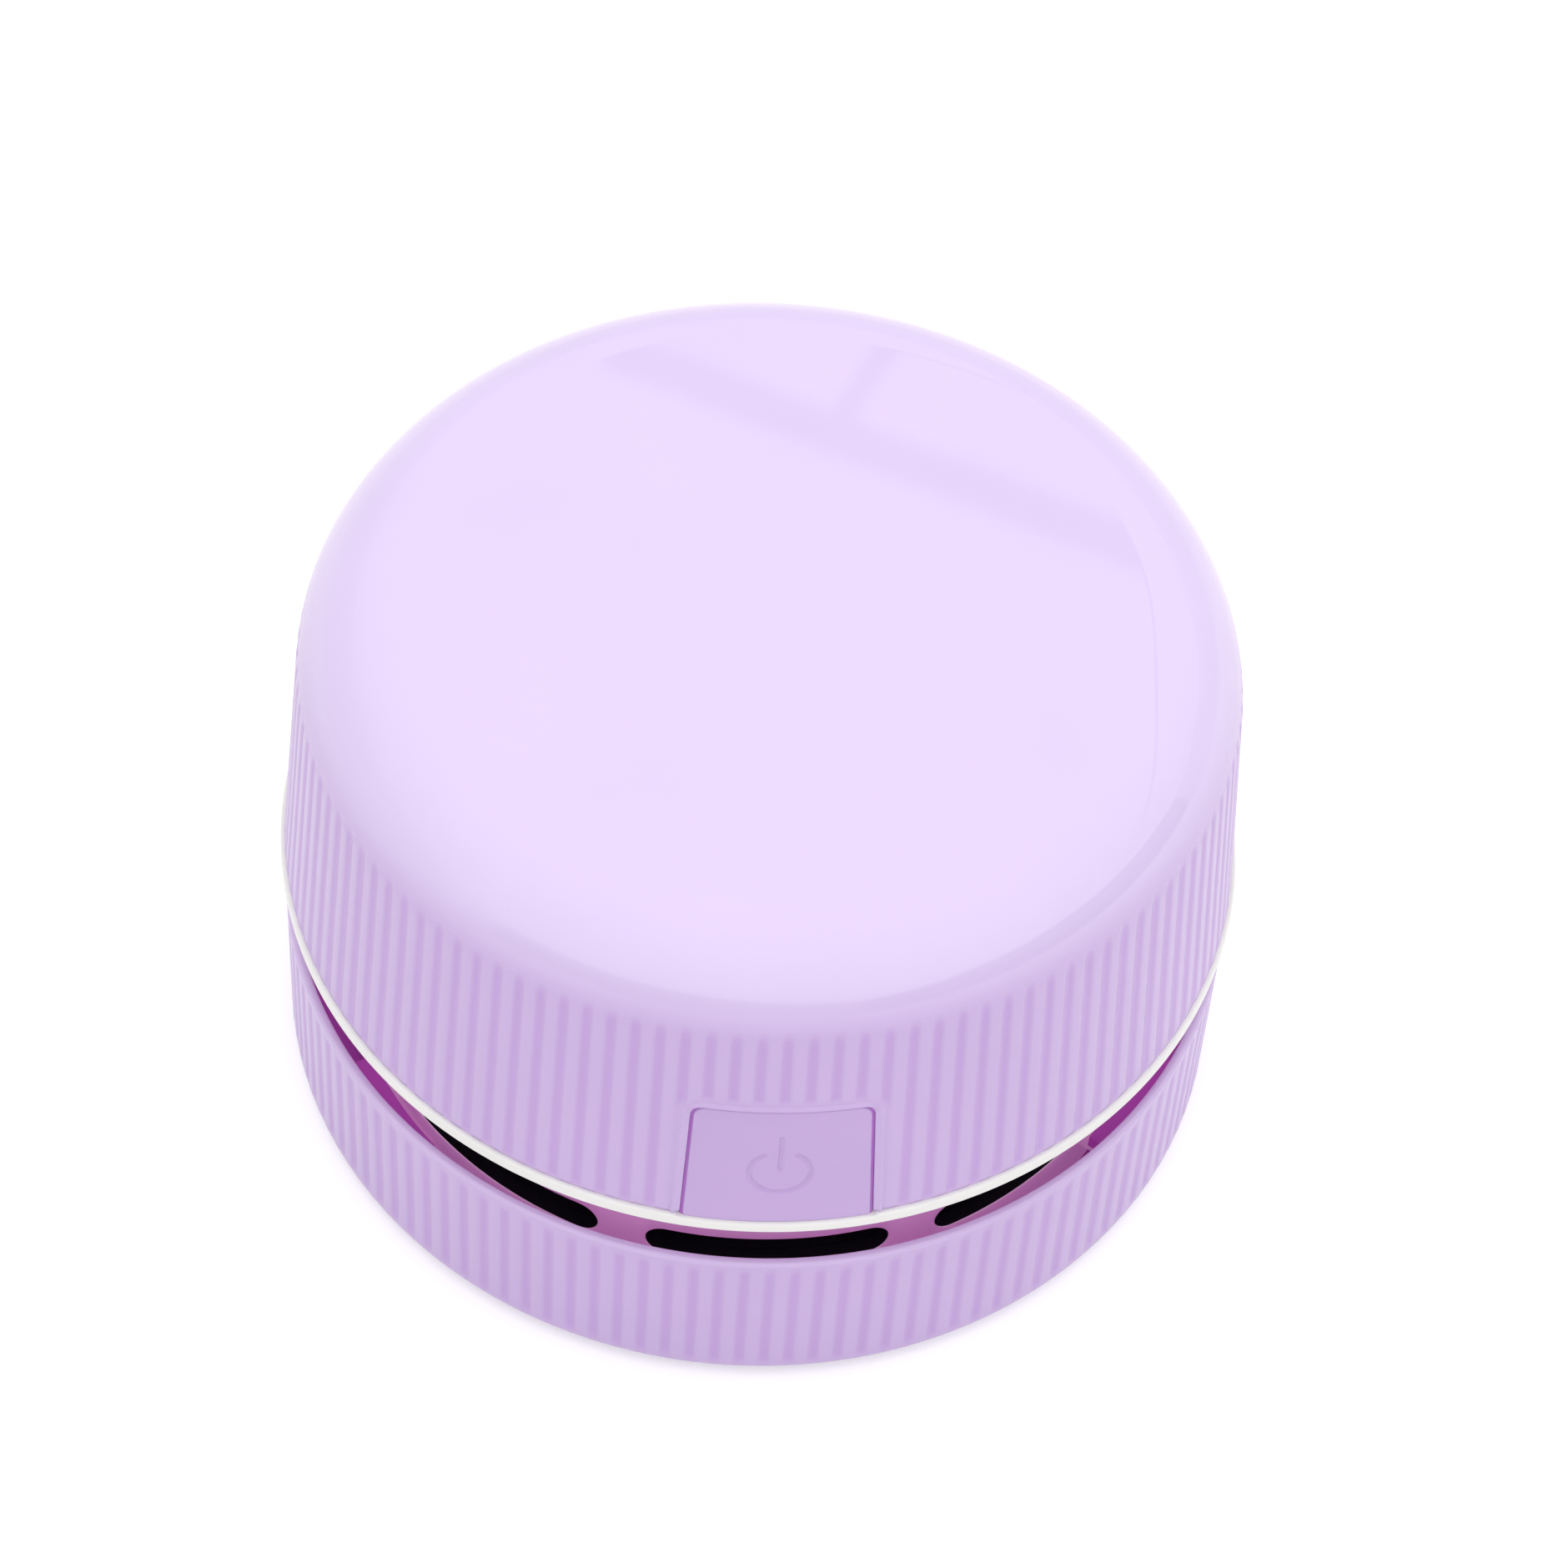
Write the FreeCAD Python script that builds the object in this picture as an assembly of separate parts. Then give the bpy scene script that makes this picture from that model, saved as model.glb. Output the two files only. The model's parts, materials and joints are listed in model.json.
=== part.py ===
import FreeCAD, Part
import math
import os

# Round desktop vacuum cleaner: a ribbed lid over a white deck that carries the motor, two cells
# and the switch; a slotted collar with the fan under it; and a ribbed dust box that twists off.
# Millimetres. +Z is up, the button faces -Y, and the origin is on the table below the centre.
# Angles are measured from the front, -Y, and grow towards +X.

# ---- driving dimensions: outside ----
glide_height = 1.0            # underside of the dust box above the table
dust_wall_height = 17.5       # underside to the rim of the dust box
exhaust_gap = 5.15            # rim to the underside of the deck
flange_thickness = 1.1        # white edge of the deck
cover_height = 31.85          # foot of the lid to its flat top
case_room = 1.636             # corners of the cell bays to the inside of the lid
cover_draft = 2.0             # lid's radius at its foot, more than where the shoulder starts
cover_round = 9.2             # shoulder of the lid
flange_inset = 0.1            # deck's edge inside the lid's foot
rim_step = 0.1                # dust box's rim outside the lid's foot
dust_draft = 0.2              # dust box's radius at its foot, more than at its rim
outlet_width = 4.6            # collar's outside to the inside of the dust box's rim
foot_bevel = 0.8
rim_bevel = 0.35
edge_break = 0.2              # at the feet of the lid and of the deck's flange

# ---- ribs on lid and dust box ----
rib_count = 120
groove_half_width = 0.6       # at the crests
groove_floor_half_width = 0.45
groove_depth = 0.3
cutter_margin = 0.4           # how far the cutter's lands stand outside the crests

# ---- lid ----
cover_wall = 1.9
cover_fit = 0.3               # lid over the deck's lip
hold_rib_thickness = 1.2
hold_rib_width = 9.0
hold_rib_offset = 8.0

# ---- button and its notch ----
button_foot_half_width = 8.2
button_head_half_width = 7.5
button_height = 16.45
button_corner = 1.2
button_wall = 1.6
button_gap = 0.3
notch_reach = 15.0            # how far the notch's cutter reaches inwards
button_travel = 1.2
frame_side = 1.3              # smooth frame beside the notch
frame_top = 0.8
frame_corner = 2.6
flange_relief = 0.6           # how far the flange is cut down under the button
button_lift = 0.2             # button foot above that cut
stem_size = 4.0
leg_offset = 6.0
leg_width = 1.6
leg_height = 5.0
hook_size = 1.0

# ---- dust box ----
floor_thickness = 1.6
dust_wall = 1.1               # at the rim
dust_wall_draft = 0.6         # how much thicker at the floor
chamber_step = 0.3            # chamber wall inside the collar's bore
chamber_wall = 1.4
chamber_depth = 4.3
mouth_radius = 9.0
mouth_wall = 1.4
mouth_lip_height = 2.0

# ---- brush, glides, seal and filter ----
brush_distance = 5.75         # middle of the brush groove from the mouth's edge
brush_groove_width = 3.4
brush_groove_depth = 2.2
brush_groove_cap = 1.0
brush_ring_thickness = 1.2
tuft_count = 24
tuft_root_radius = 0.85
tuft_tip_radius = 1.05
tuft_clearance = 0.15
glide_count = 3
glide_radius = 3.0
glide_inset = 3.6             # glides' centres inside the chamber wall's outside
glide_recess = 0.6
glide_bevel = 0.25
seal_thickness = 0.5
filter_thickness = 1.0
filter_rim = 2.6
filter_fit = 0.4
filter_spokes = 6
filter_spoke_width = 1.6
filter_hub_radius = 4.0
mesh_thickness = 0.3
filter_clearance = 0.2

# ---- collar ----
collar_wall = 1.5
collar_foot_drop = 5.2        # collar foot below the slots
slot_count = 9
slot_height = 3.9
slot_span = 33.2              # degrees, end to end
bulkhead_thickness = 1.6
bulkhead_clearance = 1.2
lug_count = 3
lug_span = 14.0
lug_reach = 2.0
lug_height = 1.4
lug_base = 0.6                # above the collar's foot
lug_clearance = 0.3
hook_span = 16.0
hook_height = 1.4
hook_angle = 60.0
hook_clearance = 0.4          # hooks from the collar's outside
stop_span = 1.6
stop_clearance = 0.5          # degrees
boss_radius = 2.3
boss_inset = 3.5              # bosses' centres inside the collar's bore

# ---- inlet plate and fan ----
inlet_plate_thickness = 1.2
inlet_plate_fit = 0.2
inlet_eye_radius = 13.0
fan_clearance = 0.6
fan_height = 5.0
fan_radius = 27.0
fan_plate_thickness = 1.0
fan_hub_radius = 4.0
fan_hub_rise = 0.6
blade_count = 11
blade_inner_radius = 10.5
blade_thickness = 1.0
blade_sweep = 34.0            # degrees a blade leans back from eye to rim
blade_bow = 0.62              # share of that lean at half way
blade_inset = 0.5             # blade tips inside the back plate's edge

# ---- motor ----
motor_pad_thickness = 0.6
motor_radius = 10.05
motor_flat = 7.6
motor_length = 25.0
motor_wall = 0.8
motor_fit = 0.35
end_cap_height = 2.4
end_cap_bevel = 0.5
end_bearing_depth = 1.5       # blind bearing in the end cap
bushing_radius = 3.0
bushing_length = 1.6
shaft_radius = 1.0
shaft_clearance = 0.03
shaft_end_gap = 0.3
armature_radius = 6.4
armature_length = 13.0
armature_slot = 1.2
armature_slot_foot = 3.6      # radius the slots reach inwards to
pole_count = 3
magnet_thickness = 1.3
magnet_length = 15.0
magnet_span = 95.0
terminal_width = 2.4
terminal_thickness = 0.4
terminal_height = 3.0
terminal_root = 1.4           # length held in the end cap
terminal_eye_radius = 0.5
terminal_eye_height = 2.0
terminal_offset = 5.6

# ---- cells and contacts ----
cell_radius = 7.2
cell_body_length = 49.2
nub_length = 1.3
nub_radius = 2.75
cell_edge = 0.6
bay_gap = 1.35                # cell to the motor tower
cell_level = 11.75            # cell axis above the deck
cell_fit = 0.15
spring_length = 3.5
spring_wire = 0.35
spring_turns = 3.5
spring_root_radius = 4.2
spring_tip_radius = 2.9
contact_size = 11.0
contact_thickness = 0.4
strap_width = 2.5
strap_overhang = 1.2          # soldering end of a front strap, past its wall

# ---- leads ----
lead_radius = 0.65
lead_bend = 0.45              # share of the shorter run that a bend takes up
lead_stub = 8.0               # straight run out of a pin or terminal
lead_tower_gap = 4.0          # lead in front of the motor tower
lead_strap_run = 9.0          # level run out of the negative strap

# ---- deck ----
lip_height = 2.75
lip_wall = 1.5
spigot_depth = 1.05
spigot_fit = 0.2
tower_wall = 1.4
tower_height = 12.0
saddle_offset = 14.0
saddle_wall = 1.6
saddle_margin = 0.8           # saddles wider than the cell, each side
end_wall = 1.6
end_wall_height = 19.0
guide_wall = 1.6
guide_setback = 1.2           # guide wall behind the pressed button
guide_half_width = 9.5
guide_height = 14.5
deck_boss_radius = 3.0
deck_boss_inset = 5.4         # centres inside the collar's bore

# ---- switch ----
switch_half_width = 4.0
switch_length = 9.0
switch_setback = 1.8          # switch front behind the guide wall
plunger_size = 3.0
plunger_fit = 0.15
plunger_depth = 4.2           # length held inside the switch
plunger_bore = 6.0
pin_length = 2.7
pin_width = 0.8
pin_thickness = 0.4
pin_spacing = 2.5
cheek_wall = 1.2

# ---- screws ----
screw_radius = 1.0
screw_head_radius = 1.9
pan_head_height = 1.2
countersink_depth = 0.9
screw_length = 6.0
motor_screw_offset = 6.5
motor_screw_length = 3.2
pilot_depth = 6.0

# ---- levels, from the table up ----
base_z = glide_height
floor_z = base_z + floor_thickness
chamber_top_z = floor_z + chamber_depth
filter_z = chamber_top_z + seal_thickness
inlet_plate_z = filter_z + filter_thickness + filter_clearance
slot_z = inlet_plate_z + inlet_plate_thickness
collar_foot_z = slot_z - collar_foot_drop
fan_z = slot_z + fan_clearance
fan_top_z = fan_z + fan_height
bulkhead_z = fan_top_z + bulkhead_clearance
bulkhead_top_z = bulkhead_z + bulkhead_thickness
motor_z = bulkhead_top_z + motor_pad_thickness
motor_top_z = motor_z + motor_length
rim_z = base_z + dust_wall_height
deck_z = rim_z + exhaust_gap
deck_top_z = deck_z + flange_thickness
cover_z = deck_top_z
cover_top_z = cover_z + cover_height
shoulder_z = cover_top_z - cover_round
cell_z = deck_top_z + cell_level
button_z = deck_top_z - flange_relief + button_lift
button_mid_z = button_z + button_height / 2
terminal_z = motor_top_z + end_cap_height + terminal_height * 0.6

# ---- the case round the cells and the motor ----
tower_radius = motor_radius + motor_fit + tower_wall
bay_half_length = (cell_body_length + nub_length + spring_length) / 2
cell_offset = tower_radius + bay_gap + cell_radius
saddle_half_width = cell_radius + saddle_margin
bay_corner = math.hypot(cell_offset + saddle_half_width, bay_half_length + contact_thickness)
cover_lean = cover_draft * cell_level / (shoulder_z - cover_z)
cover_foot_radius = bay_corner + case_room + cover_wall + cover_lean
cover_shoulder_radius = cover_foot_radius - cover_draft
flange_radius = cover_foot_radius - flange_inset
rim_radius = cover_foot_radius + rim_step
foot_radius = rim_radius + dust_draft
collar_radius = rim_radius - dust_wall - outlet_width

# ---- radii and lengths that follow ----
cover_slope = (cover_foot_radius - cover_shoulder_radius) / (shoulder_z - cover_z)
collar_bore = collar_radius - collar_wall
filter_radius = collar_bore - filter_fit
chamber_wall_radius = collar_bore - chamber_step
brush_groove_radius = mouth_radius + brush_distance
glide_circle = chamber_wall_radius - glide_inset
boss_circle = collar_bore - boss_inset
deck_boss_circle = collar_bore - deck_boss_inset
sleeve_radius = bushing_radius - motor_wall
strap_z = cell_z + (contact_size - strap_width) / 2
strap_end_x = cell_offset - saddle_half_width - strap_overhang
boss_turn = 80.0              # deck bosses stand behind pillars between the slots
plate_boss_turn = 20.0        # and so do the inlet plate's
up = FreeCAD.Vector(0, 0, 1)
along = FreeCAD.Vector(0, 1, 0)     # the way the cells lie and the button moves
tiny = 0.001
weld = 0.2                    # how far a fused feature reaches into what carries it
play = 0.1                    # all round, where one piece drops into another
past = 1.0                    # how far a cutter runs past a face
centre = FreeCAD.Vector(0, 0, 0)


def cover_radius(z):
    """Radius of the lid's rib crests at a height."""
    return cover_foot_radius - cover_slope * (z - cover_z)


def place(radius, angle, z=0.0):
    """Point at a radius and an angle from the front."""
    turn = math.radians(angle)
    return FreeCAD.Vector(radius * math.sin(turn), -radius * math.cos(turn), z)


def disc(radius, z0, z1, at=centre):
    """Upright cylinder between two heights."""
    return Part.makeCylinder(radius, z1 - z0, FreeCAD.Vector(at.x, at.y, z0))


def ring(outer, inner, z0, z1):
    """Upright tube between two heights."""
    return disc(outer, z0, z1).cut(disc(inner, z0 - past, z1 + past))


def block(x0, x1, y0, y1, z0, z1):
    """Box between two corners."""
    return Part.makeBox(x1 - x0, y1 - y0, z1 - z0, FreeCAD.Vector(x0, y0, z0))


def cone(foot, head, z0, z1):
    """Upright cone frustum, or a cylinder when both radii are alike."""
    if abs(foot - head) < tiny:
        return disc(foot, z0, z1)
    return Part.makeCone(foot, head, z1 - z0, FreeCAD.Vector(0, 0, z0))


def sector(inner, outer, z0, z1, angle, span):
    """Piece of a ring, centred on an angle."""
    corners = [FreeCAD.Vector(0, -r, z) for r, z in ((inner, z0), (outer, z0), (outer, z1), (inner, z1))]
    face = Part.Face(Part.makePolygon(corners + corners[:1]))
    piece = face.revolve(centre, up, span)
    piece.rotate(centre, up, angle - span / 2)
    return piece


def around(shape, count, start=0.0):
    """Copies of a shape, evenly turned about the upright axis."""
    copies = []
    for index in range(count):
        copy = shape.copy()
        copy.rotate(centre, up, start + index * 360.0 / count)
        copies.append(copy)
    return copies


def groove_cutters(foot, head, z0, z1):
    """Flat-bottomed bars that cut one groove between each pair of ribs, sunk below the crests."""
    flank = (groove_half_width - groove_floor_half_width) / groove_depth
    mouth = groove_half_width + cutter_margin * flank
    corners = [(-mouth, cutter_margin), (-groove_floor_half_width, -groove_depth),
               (groove_floor_half_width, -groove_depth), (mouth, cutter_margin)]
    points = [FreeCAD.Vector(x, -foot - rise, z0) for x, rise in corners]
    profile = Part.Face(Part.makePolygon(points + points[:1]))
    groove = profile.extrude(FreeCAD.Vector(0, foot - head, z1 - z0))
    return Part.makeCompound(around(groove, rib_count, 180.0 / rib_count))


def button_outline(side, top, foot, corner, foot_corner=0.0):
    """Prism through the front wall in the outline of the button, grown by side and top."""
    front = -(cover_foot_radius + past)
    low = button_foot_half_width + side
    high = button_head_half_width + side
    head = button_z + button_height + top
    corners = [(-low, foot), (low, foot), (high, head), (-high, head)]
    points = [FreeCAD.Vector(x, front, z) for x, z in corners]
    prism = Part.Face(Part.makePolygon(points + points[:1])).extrude(along * notch_reach)

    def level_edges(z):
        return [e for e in prism.Edges if abs(e.BoundBox.ZMin - z) < tiny and abs(e.BoundBox.ZMax - z) < tiny
                and e.BoundBox.XLength < tiny]

    prism = prism.makeFillet(corner, level_edges(head))
    if foot_corner > 0:
        prism = prism.makeFillet(foot_corner, level_edges(foot))
    return prism


def make_top_cover():
    """Lid: ribbed cone with a round shoulder, hollow, notched for the button."""
    def bell(inset):
        top = cover_top_z - inset
        body = cone(cover_foot_radius - inset, cover_radius(top) - inset, cover_z, top)
        edge = [e for e in body.Edges if e.BoundBox.ZMin > top - tiny and e.isClosed()]
        return body.makeFillet(cover_round - inset, edge)

    outer = bell(0.0)
    foot_edge = [e for e in outer.Edges if e.BoundBox.ZMax < cover_z + tiny and e.isClosed()]
    outer = outer.makeChamfer(edge_break, foot_edge)
    below = cover_z - past
    grooves = groove_cutters(cover_radius(below), cover_radius(cover_top_z), below, cover_top_z)
    frame = button_outline(button_gap + frame_side, button_gap + frame_top, below, frame_corner)
    shell = outer.cut(grooves.cut(frame))
    shell = shell.cut(bell(cover_wall).fuse(disc(cover_foot_radius - cover_wall, below, cover_z)))
    ceiling = cover_top_z - cover_wall
    for x in (-cell_offset, cell_offset):
        for y in (-hold_rib_offset, hold_rib_offset):
            shell = shell.fuse(block(x - hold_rib_width / 2, x + hold_rib_width / 2,
                                     y - hold_rib_thickness / 2, y + hold_rib_thickness / 2,
                                     cell_z + cell_radius + cover_fit, ceiling + cover_wall / 2))
    return shell.cut(button_outline(button_gap, button_gap, below, button_corner + button_gap))


def make_power_button():
    """Button cap: a piece of the lid's cone with a stem and two hooked legs."""
    head = button_z + button_height + past
    foot = button_z - past
    skin = cone(cover_radius(foot), cover_radius(head), foot, head).cut(
        cone(cover_radius(foot) - button_wall, cover_radius(head) - button_wall, foot, head))
    cap = skin.common(button_outline(0, 0, button_z, button_corner, button_corner / 2))
    root = -(cover_radius(button_mid_z) - button_wall / 2)
    cap = cap.fuse(block(-stem_size / 2, stem_size / 2, root, plunger_front_y,
                         button_mid_z - stem_size / 2, button_mid_z + stem_size / 2))
    hook_y = guide_back_y + button_gap
    for side in (-1, 1):
        x = side * leg_offset
        leg = block(x - leg_width / 2, x + leg_width / 2, root, hook_y + hook_size,
                    button_mid_z - leg_height / 2, button_mid_z + leg_height / 2)
        tip = x + side * leg_width / 2
        hook = block(min(tip, tip + side * hook_size), max(tip, tip + side * hook_size), hook_y,
                     hook_y + hook_size, button_mid_z - leg_height / 2, button_mid_z + leg_height / 2)
        cap = cap.fuse(leg).fuse(hook)
    return cap.removeSplitter()


# The guide wall stands behind the pressed button, and the switch behind the guide wall.
guide_front_y = -(cover_radius(button_z + button_height) - button_wall) + button_travel + guide_setback
guide_back_y = guide_front_y + guide_wall
switch_front_y = guide_back_y + switch_setback
switch_back_y = switch_front_y + switch_length
plunger_front_y = switch_front_y - button_travel - plunger_fit
switch_z = button_mid_z - switch_half_width
switch_top_z = button_mid_z + switch_half_width


def guide_hole(x, width, height):
    """Hole through the guide wall for a leg or the stem of the button."""
    wide = width / 2 + button_gap
    tall = height / 2 + button_gap
    return block(x - wide, x + wide, guide_front_y - past, guide_back_y + past,
                 button_mid_z - tall, button_mid_z + tall)


def make_battery_deck():
    """White deck: flange, lip, spigot, motor tower, cell saddles, button guide and screw bosses."""
    lip_top = deck_top_z + lip_height
    lip_radius = cover_radius(lip_top) - cover_wall - cover_fit
    deck = disc(flange_radius, deck_z, deck_top_z)
    rim = [e for e in deck.Edges if e.isClosed() and e.BoundBox.ZMax < deck_z + tiny]
    deck = deck.makeChamfer(edge_break, rim)
    deck = deck.fuse(disc(collar_bore - spigot_fit, deck_z - spigot_depth, deck_z))
    deck = deck.fuse(ring(lip_radius, lip_radius - lip_wall, deck_top_z, lip_top))
    deck = deck.fuse(disc(tower_radius, deck_top_z, deck_top_z + tower_height))
    reach = cover_radius(deck_top_z + end_wall_height) - cover_wall - 2 * cover_fit
    stands = []
    for side in (-1, 1):
        x = side * cell_offset
        for y in (-saddle_offset, saddle_offset):
            stands.append(block(x - saddle_half_width, x + saddle_half_width, y - saddle_wall / 2,
                                y + saddle_wall / 2, deck_top_z, cell_z))
        for end in (-1, 1):
            y0 = end * (bay_half_length + contact_thickness)
            y1 = y0 + end * end_wall
            stands.append(block(x - saddle_half_width, x + saddle_half_width, min(y0, y1), max(y0, y1),
                                deck_top_z, deck_top_z + end_wall_height))
    guide = block(-guide_half_width, guide_half_width, guide_front_y, guide_back_y,
                  deck_top_z, deck_top_z + guide_height)
    stands.append(guide)
    stands.append(block(-switch_half_width, switch_half_width, switch_front_y, switch_back_y,
                        deck_top_z, switch_z))
    for side in (-1, 1):
        x = side * (switch_half_width + play)
        stands.append(block(min(x, x + side * cheek_wall), max(x, x + side * cheek_wall),
                            switch_front_y + cheek_wall, switch_back_y - cheek_wall, deck_top_z,
                            button_mid_z))
    for stand in stands:
        deck = deck.fuse(stand.common(disc(reach, deck_top_z, cover_top_z)))
    for stand in around(disc(deck_boss_radius, bulkhead_top_z, deck_z, place(deck_boss_circle, 0)),
                        lug_count, boss_turn):
        deck = deck.fuse(stand)
    cuts = [disc(motor_radius + motor_fit, bulkhead_top_z, cover_top_z)]
    for side in (-1, 1):
        bay_end = FreeCAD.Vector(side * cell_offset, -bay_half_length, cell_z)
        cuts.append(Part.makeCylinder(cell_radius + cell_fit, 2 * bay_half_length, bay_end, along))
        cuts.append(guide_hole(side * leg_offset, leg_width, leg_height))
    cuts.append(guide_hole(0, stem_size, stem_size))
    notch = button_foot_half_width + button_gap
    cuts.append(block(-notch, notch, -flange_radius - past, guide_front_y - button_gap,
                      deck_top_z - flange_relief, lip_top + past))
    cuts += around(disc(screw_radius, bulkhead_top_z - past, bulkhead_top_z + pilot_depth,
                        place(deck_boss_circle, 0)), lug_count, boss_turn)
    for cut in cuts:
        deck = deck.cut(cut)
    return deck.removeSplitter()


def make_exhaust_collar():
    """Collar: slotted wall, bulkhead under the motor, screw bosses and bayonet lugs."""
    collar = ring(collar_radius, collar_bore, collar_foot_z, deck_z)
    collar = collar.fuse(disc(collar_bore + weld, bulkhead_z, bulkhead_top_z))
    half = slot_height / 2
    middle_z = slot_z + half
    straight = slot_span - 2 * math.degrees(half / collar_radius)
    slot = sector(collar_bore - past, collar_radius + past, slot_z, slot_z + slot_height, 0, straight)
    for side in (-1, 1):
        at = place(collar_bore - past, side * straight / 2, middle_z)
        slot = slot.fuse(Part.makeCylinder(half, collar_wall + 2 * past, at, place(1, side * straight / 2)))
    for cut in around(slot, slot_count):
        collar = collar.cut(cut)
    boss = disc(boss_radius, slot_z, bulkhead_z, place(boss_circle, 0))
    for piece in around(boss, lug_count, plate_boss_turn):
        collar = collar.fuse(piece)
    lug = sector(collar_radius - weld, collar_radius + lug_reach, collar_foot_z + lug_base,
                 collar_foot_z + lug_base + lug_height, 0, lug_span)
    for piece in around(lug, lug_count, hook_angle):
        collar = collar.fuse(piece)
    cuts = [disc(bushing_radius + motor_fit, bulkhead_z - past, bulkhead_top_z + past)]
    cuts += around(disc(screw_radius, slot_z - past, slot_z + screw_length, place(boss_circle, 0)),
                   lug_count, plate_boss_turn)
    cuts += around(disc(screw_radius + play, bulkhead_z - past, bulkhead_top_z + past,
                        place(deck_boss_circle, 0)),
                   lug_count, boss_turn)
    cuts += around(countersunk_hole(bulkhead_z, bulkhead_thickness, motor_screw_offset), 2, 90)
    for cut in cuts:
        collar = collar.cut(cut)
    return collar.removeSplitter()


def countersunk_hole(z, thickness, circle):
    """Hole through a plate for a flat-headed screw put in from below."""
    at = place(circle, 0, z)
    head = Part.makeCone(screw_head_radius + play, screw_radius + play, countersink_depth, at)
    return head.fuse(disc(screw_radius + play, z - past, z + thickness + past, place(circle, 0)))


def countersunk_screw(z, length, circle):
    """Flat-headed screw put in from below, its head flush with the plate."""
    head = Part.makeCone(screw_head_radius, screw_radius, countersink_depth, place(circle, 0, z))
    return head.fuse(disc(screw_radius, z + countersink_depth, z + length, place(circle, 0)))


def make_inlet_plate():
    """Black plate with the fan's eye, screwed under the collar."""
    plate = ring(collar_bore - inlet_plate_fit, inlet_eye_radius, inlet_plate_z, slot_z)
    for cut in around(countersunk_hole(inlet_plate_z, inlet_plate_thickness, boss_circle),
                      lug_count, plate_boss_turn):
        plate = plate.cut(cut)
    return plate


def make_plate_screws():
    screw = countersunk_screw(inlet_plate_z, screw_length, boss_circle)
    return Part.makeCompound(around(screw, lug_count, plate_boss_turn))


def make_deck_screws():
    shank = disc(screw_radius, bulkhead_z, bulkhead_z + screw_length, place(deck_boss_circle, 0))
    head = disc(screw_head_radius, bulkhead_z - pan_head_height, bulkhead_z, place(deck_boss_circle, 0))
    head = head.makeFillet(pan_head_height / 2, [head.Edges[2]])
    return Part.makeCompound(around(head.fuse(shank), lug_count, boss_turn))


def make_motor_screws():
    screw = countersunk_screw(bulkhead_z, motor_screw_length, motor_screw_offset)
    return Part.makeCompound(around(screw, 2, 90))


def make_fan_impeller():
    """Fan: hub, back plate and backward-curved blades that hang below it."""
    plate_z = fan_top_z - fan_plate_thickness
    fan = disc(fan_radius, plate_z, fan_top_z)
    fan = fan.fuse(disc(fan_hub_radius, fan_z, fan_top_z + fan_hub_rise))

    def flank(shift):
        points = []
        for share, lean in ((0.0, 0.0), (0.5, blade_bow), (1.0, 1.0)):
            radius = blade_inner_radius + share * (fan_radius - blade_inset - blade_inner_radius)
            points.append(place(radius, blade_sweep * lean + math.degrees(shift / radius), fan_z))
        return Part.Arc(*points)

    outer = flank(blade_thickness / 2)
    inner = flank(-blade_thickness / 2)
    edges = [outer.toShape(), Part.makeLine(outer.EndPoint, inner.EndPoint), inner.toShape(),
             Part.makeLine(inner.StartPoint, outer.StartPoint)]
    blade = Part.Face(Part.Wire(edges)).extrude(up * (plate_z - fan_z + fan_plate_thickness / 2))
    for copy in around(blade, blade_count):
        fan = fan.fuse(copy)
    return fan.cut(disc(shaft_radius, fan_z + past, fan_top_z + 2 * past)).removeSplitter()


def motor_section(radius, flat, z0, z1):
    """Round bar with two flats facing the cells."""
    return disc(radius, z0, z1).common(block(-flat, flat, -radius, radius, z0, z1))


def make_motor_can():
    can = motor_section(motor_radius, motor_flat, motor_z, motor_top_z)
    can = can.cut(motor_section(motor_radius - motor_wall, motor_flat - motor_wall,
                                motor_z + motor_wall, motor_top_z + past))
    can = can.cut(disc(sleeve_radius, motor_z - past, motor_z + motor_wall + past))
    for cut in around(disc(screw_radius, motor_z - past, motor_z + motor_wall + past,
                           place(motor_screw_offset, 0)),
                      2, 90):
        can = can.cut(cut)
    return can


def make_motor_bushing():
    """Brass bearing: a boss below the can and a sleeve through its floor."""
    bush = disc(bushing_radius, motor_z - bushing_length, motor_z)
    bush = bush.fuse(disc(sleeve_radius, motor_z, motor_z + 2 * motor_wall))
    return bush.cut(disc(shaft_radius + shaft_clearance, motor_z - 2 * bushing_length,
                         motor_z + 2 * bushing_length))


def make_motor_pad():
    pad = ring(motor_radius, bushing_radius + motor_fit, bulkhead_top_z, motor_z)
    pad = pad.common(block(-motor_flat, motor_flat, -motor_radius, motor_radius, bulkhead_top_z, motor_z))
    for cut in around(disc(screw_radius + motor_fit, bulkhead_top_z - past, motor_z + past,
                           place(motor_screw_offset, 0)),
                      2, 90):
        pad = pad.cut(cut)
    return pad


def terminal_bar(y, top):
    """Bar in the outline of a terminal, from its root in the end cap upwards."""
    return block(-terminal_width / 2, terminal_width / 2, y - terminal_thickness / 2,
                 y + terminal_thickness / 2, motor_top_z + end_cap_height - terminal_root, top)


def make_motor_end_cap():
    cap_top = motor_top_z + end_cap_height
    cap = motor_section(motor_radius, motor_flat, motor_top_z, cap_top)
    top = [e for e in cap.Edges if e.BoundBox.ZMin > cap_top - tiny]
    cap = cap.makeChamfer(end_cap_bevel, top)
    cap = cap.cut(disc(shaft_radius + shaft_clearance, motor_top_z - past, motor_top_z + end_bearing_depth))
    for y in (-terminal_offset, terminal_offset):
        cap = cap.cut(terminal_bar(y, cap_top + past))
    return cap


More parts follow.
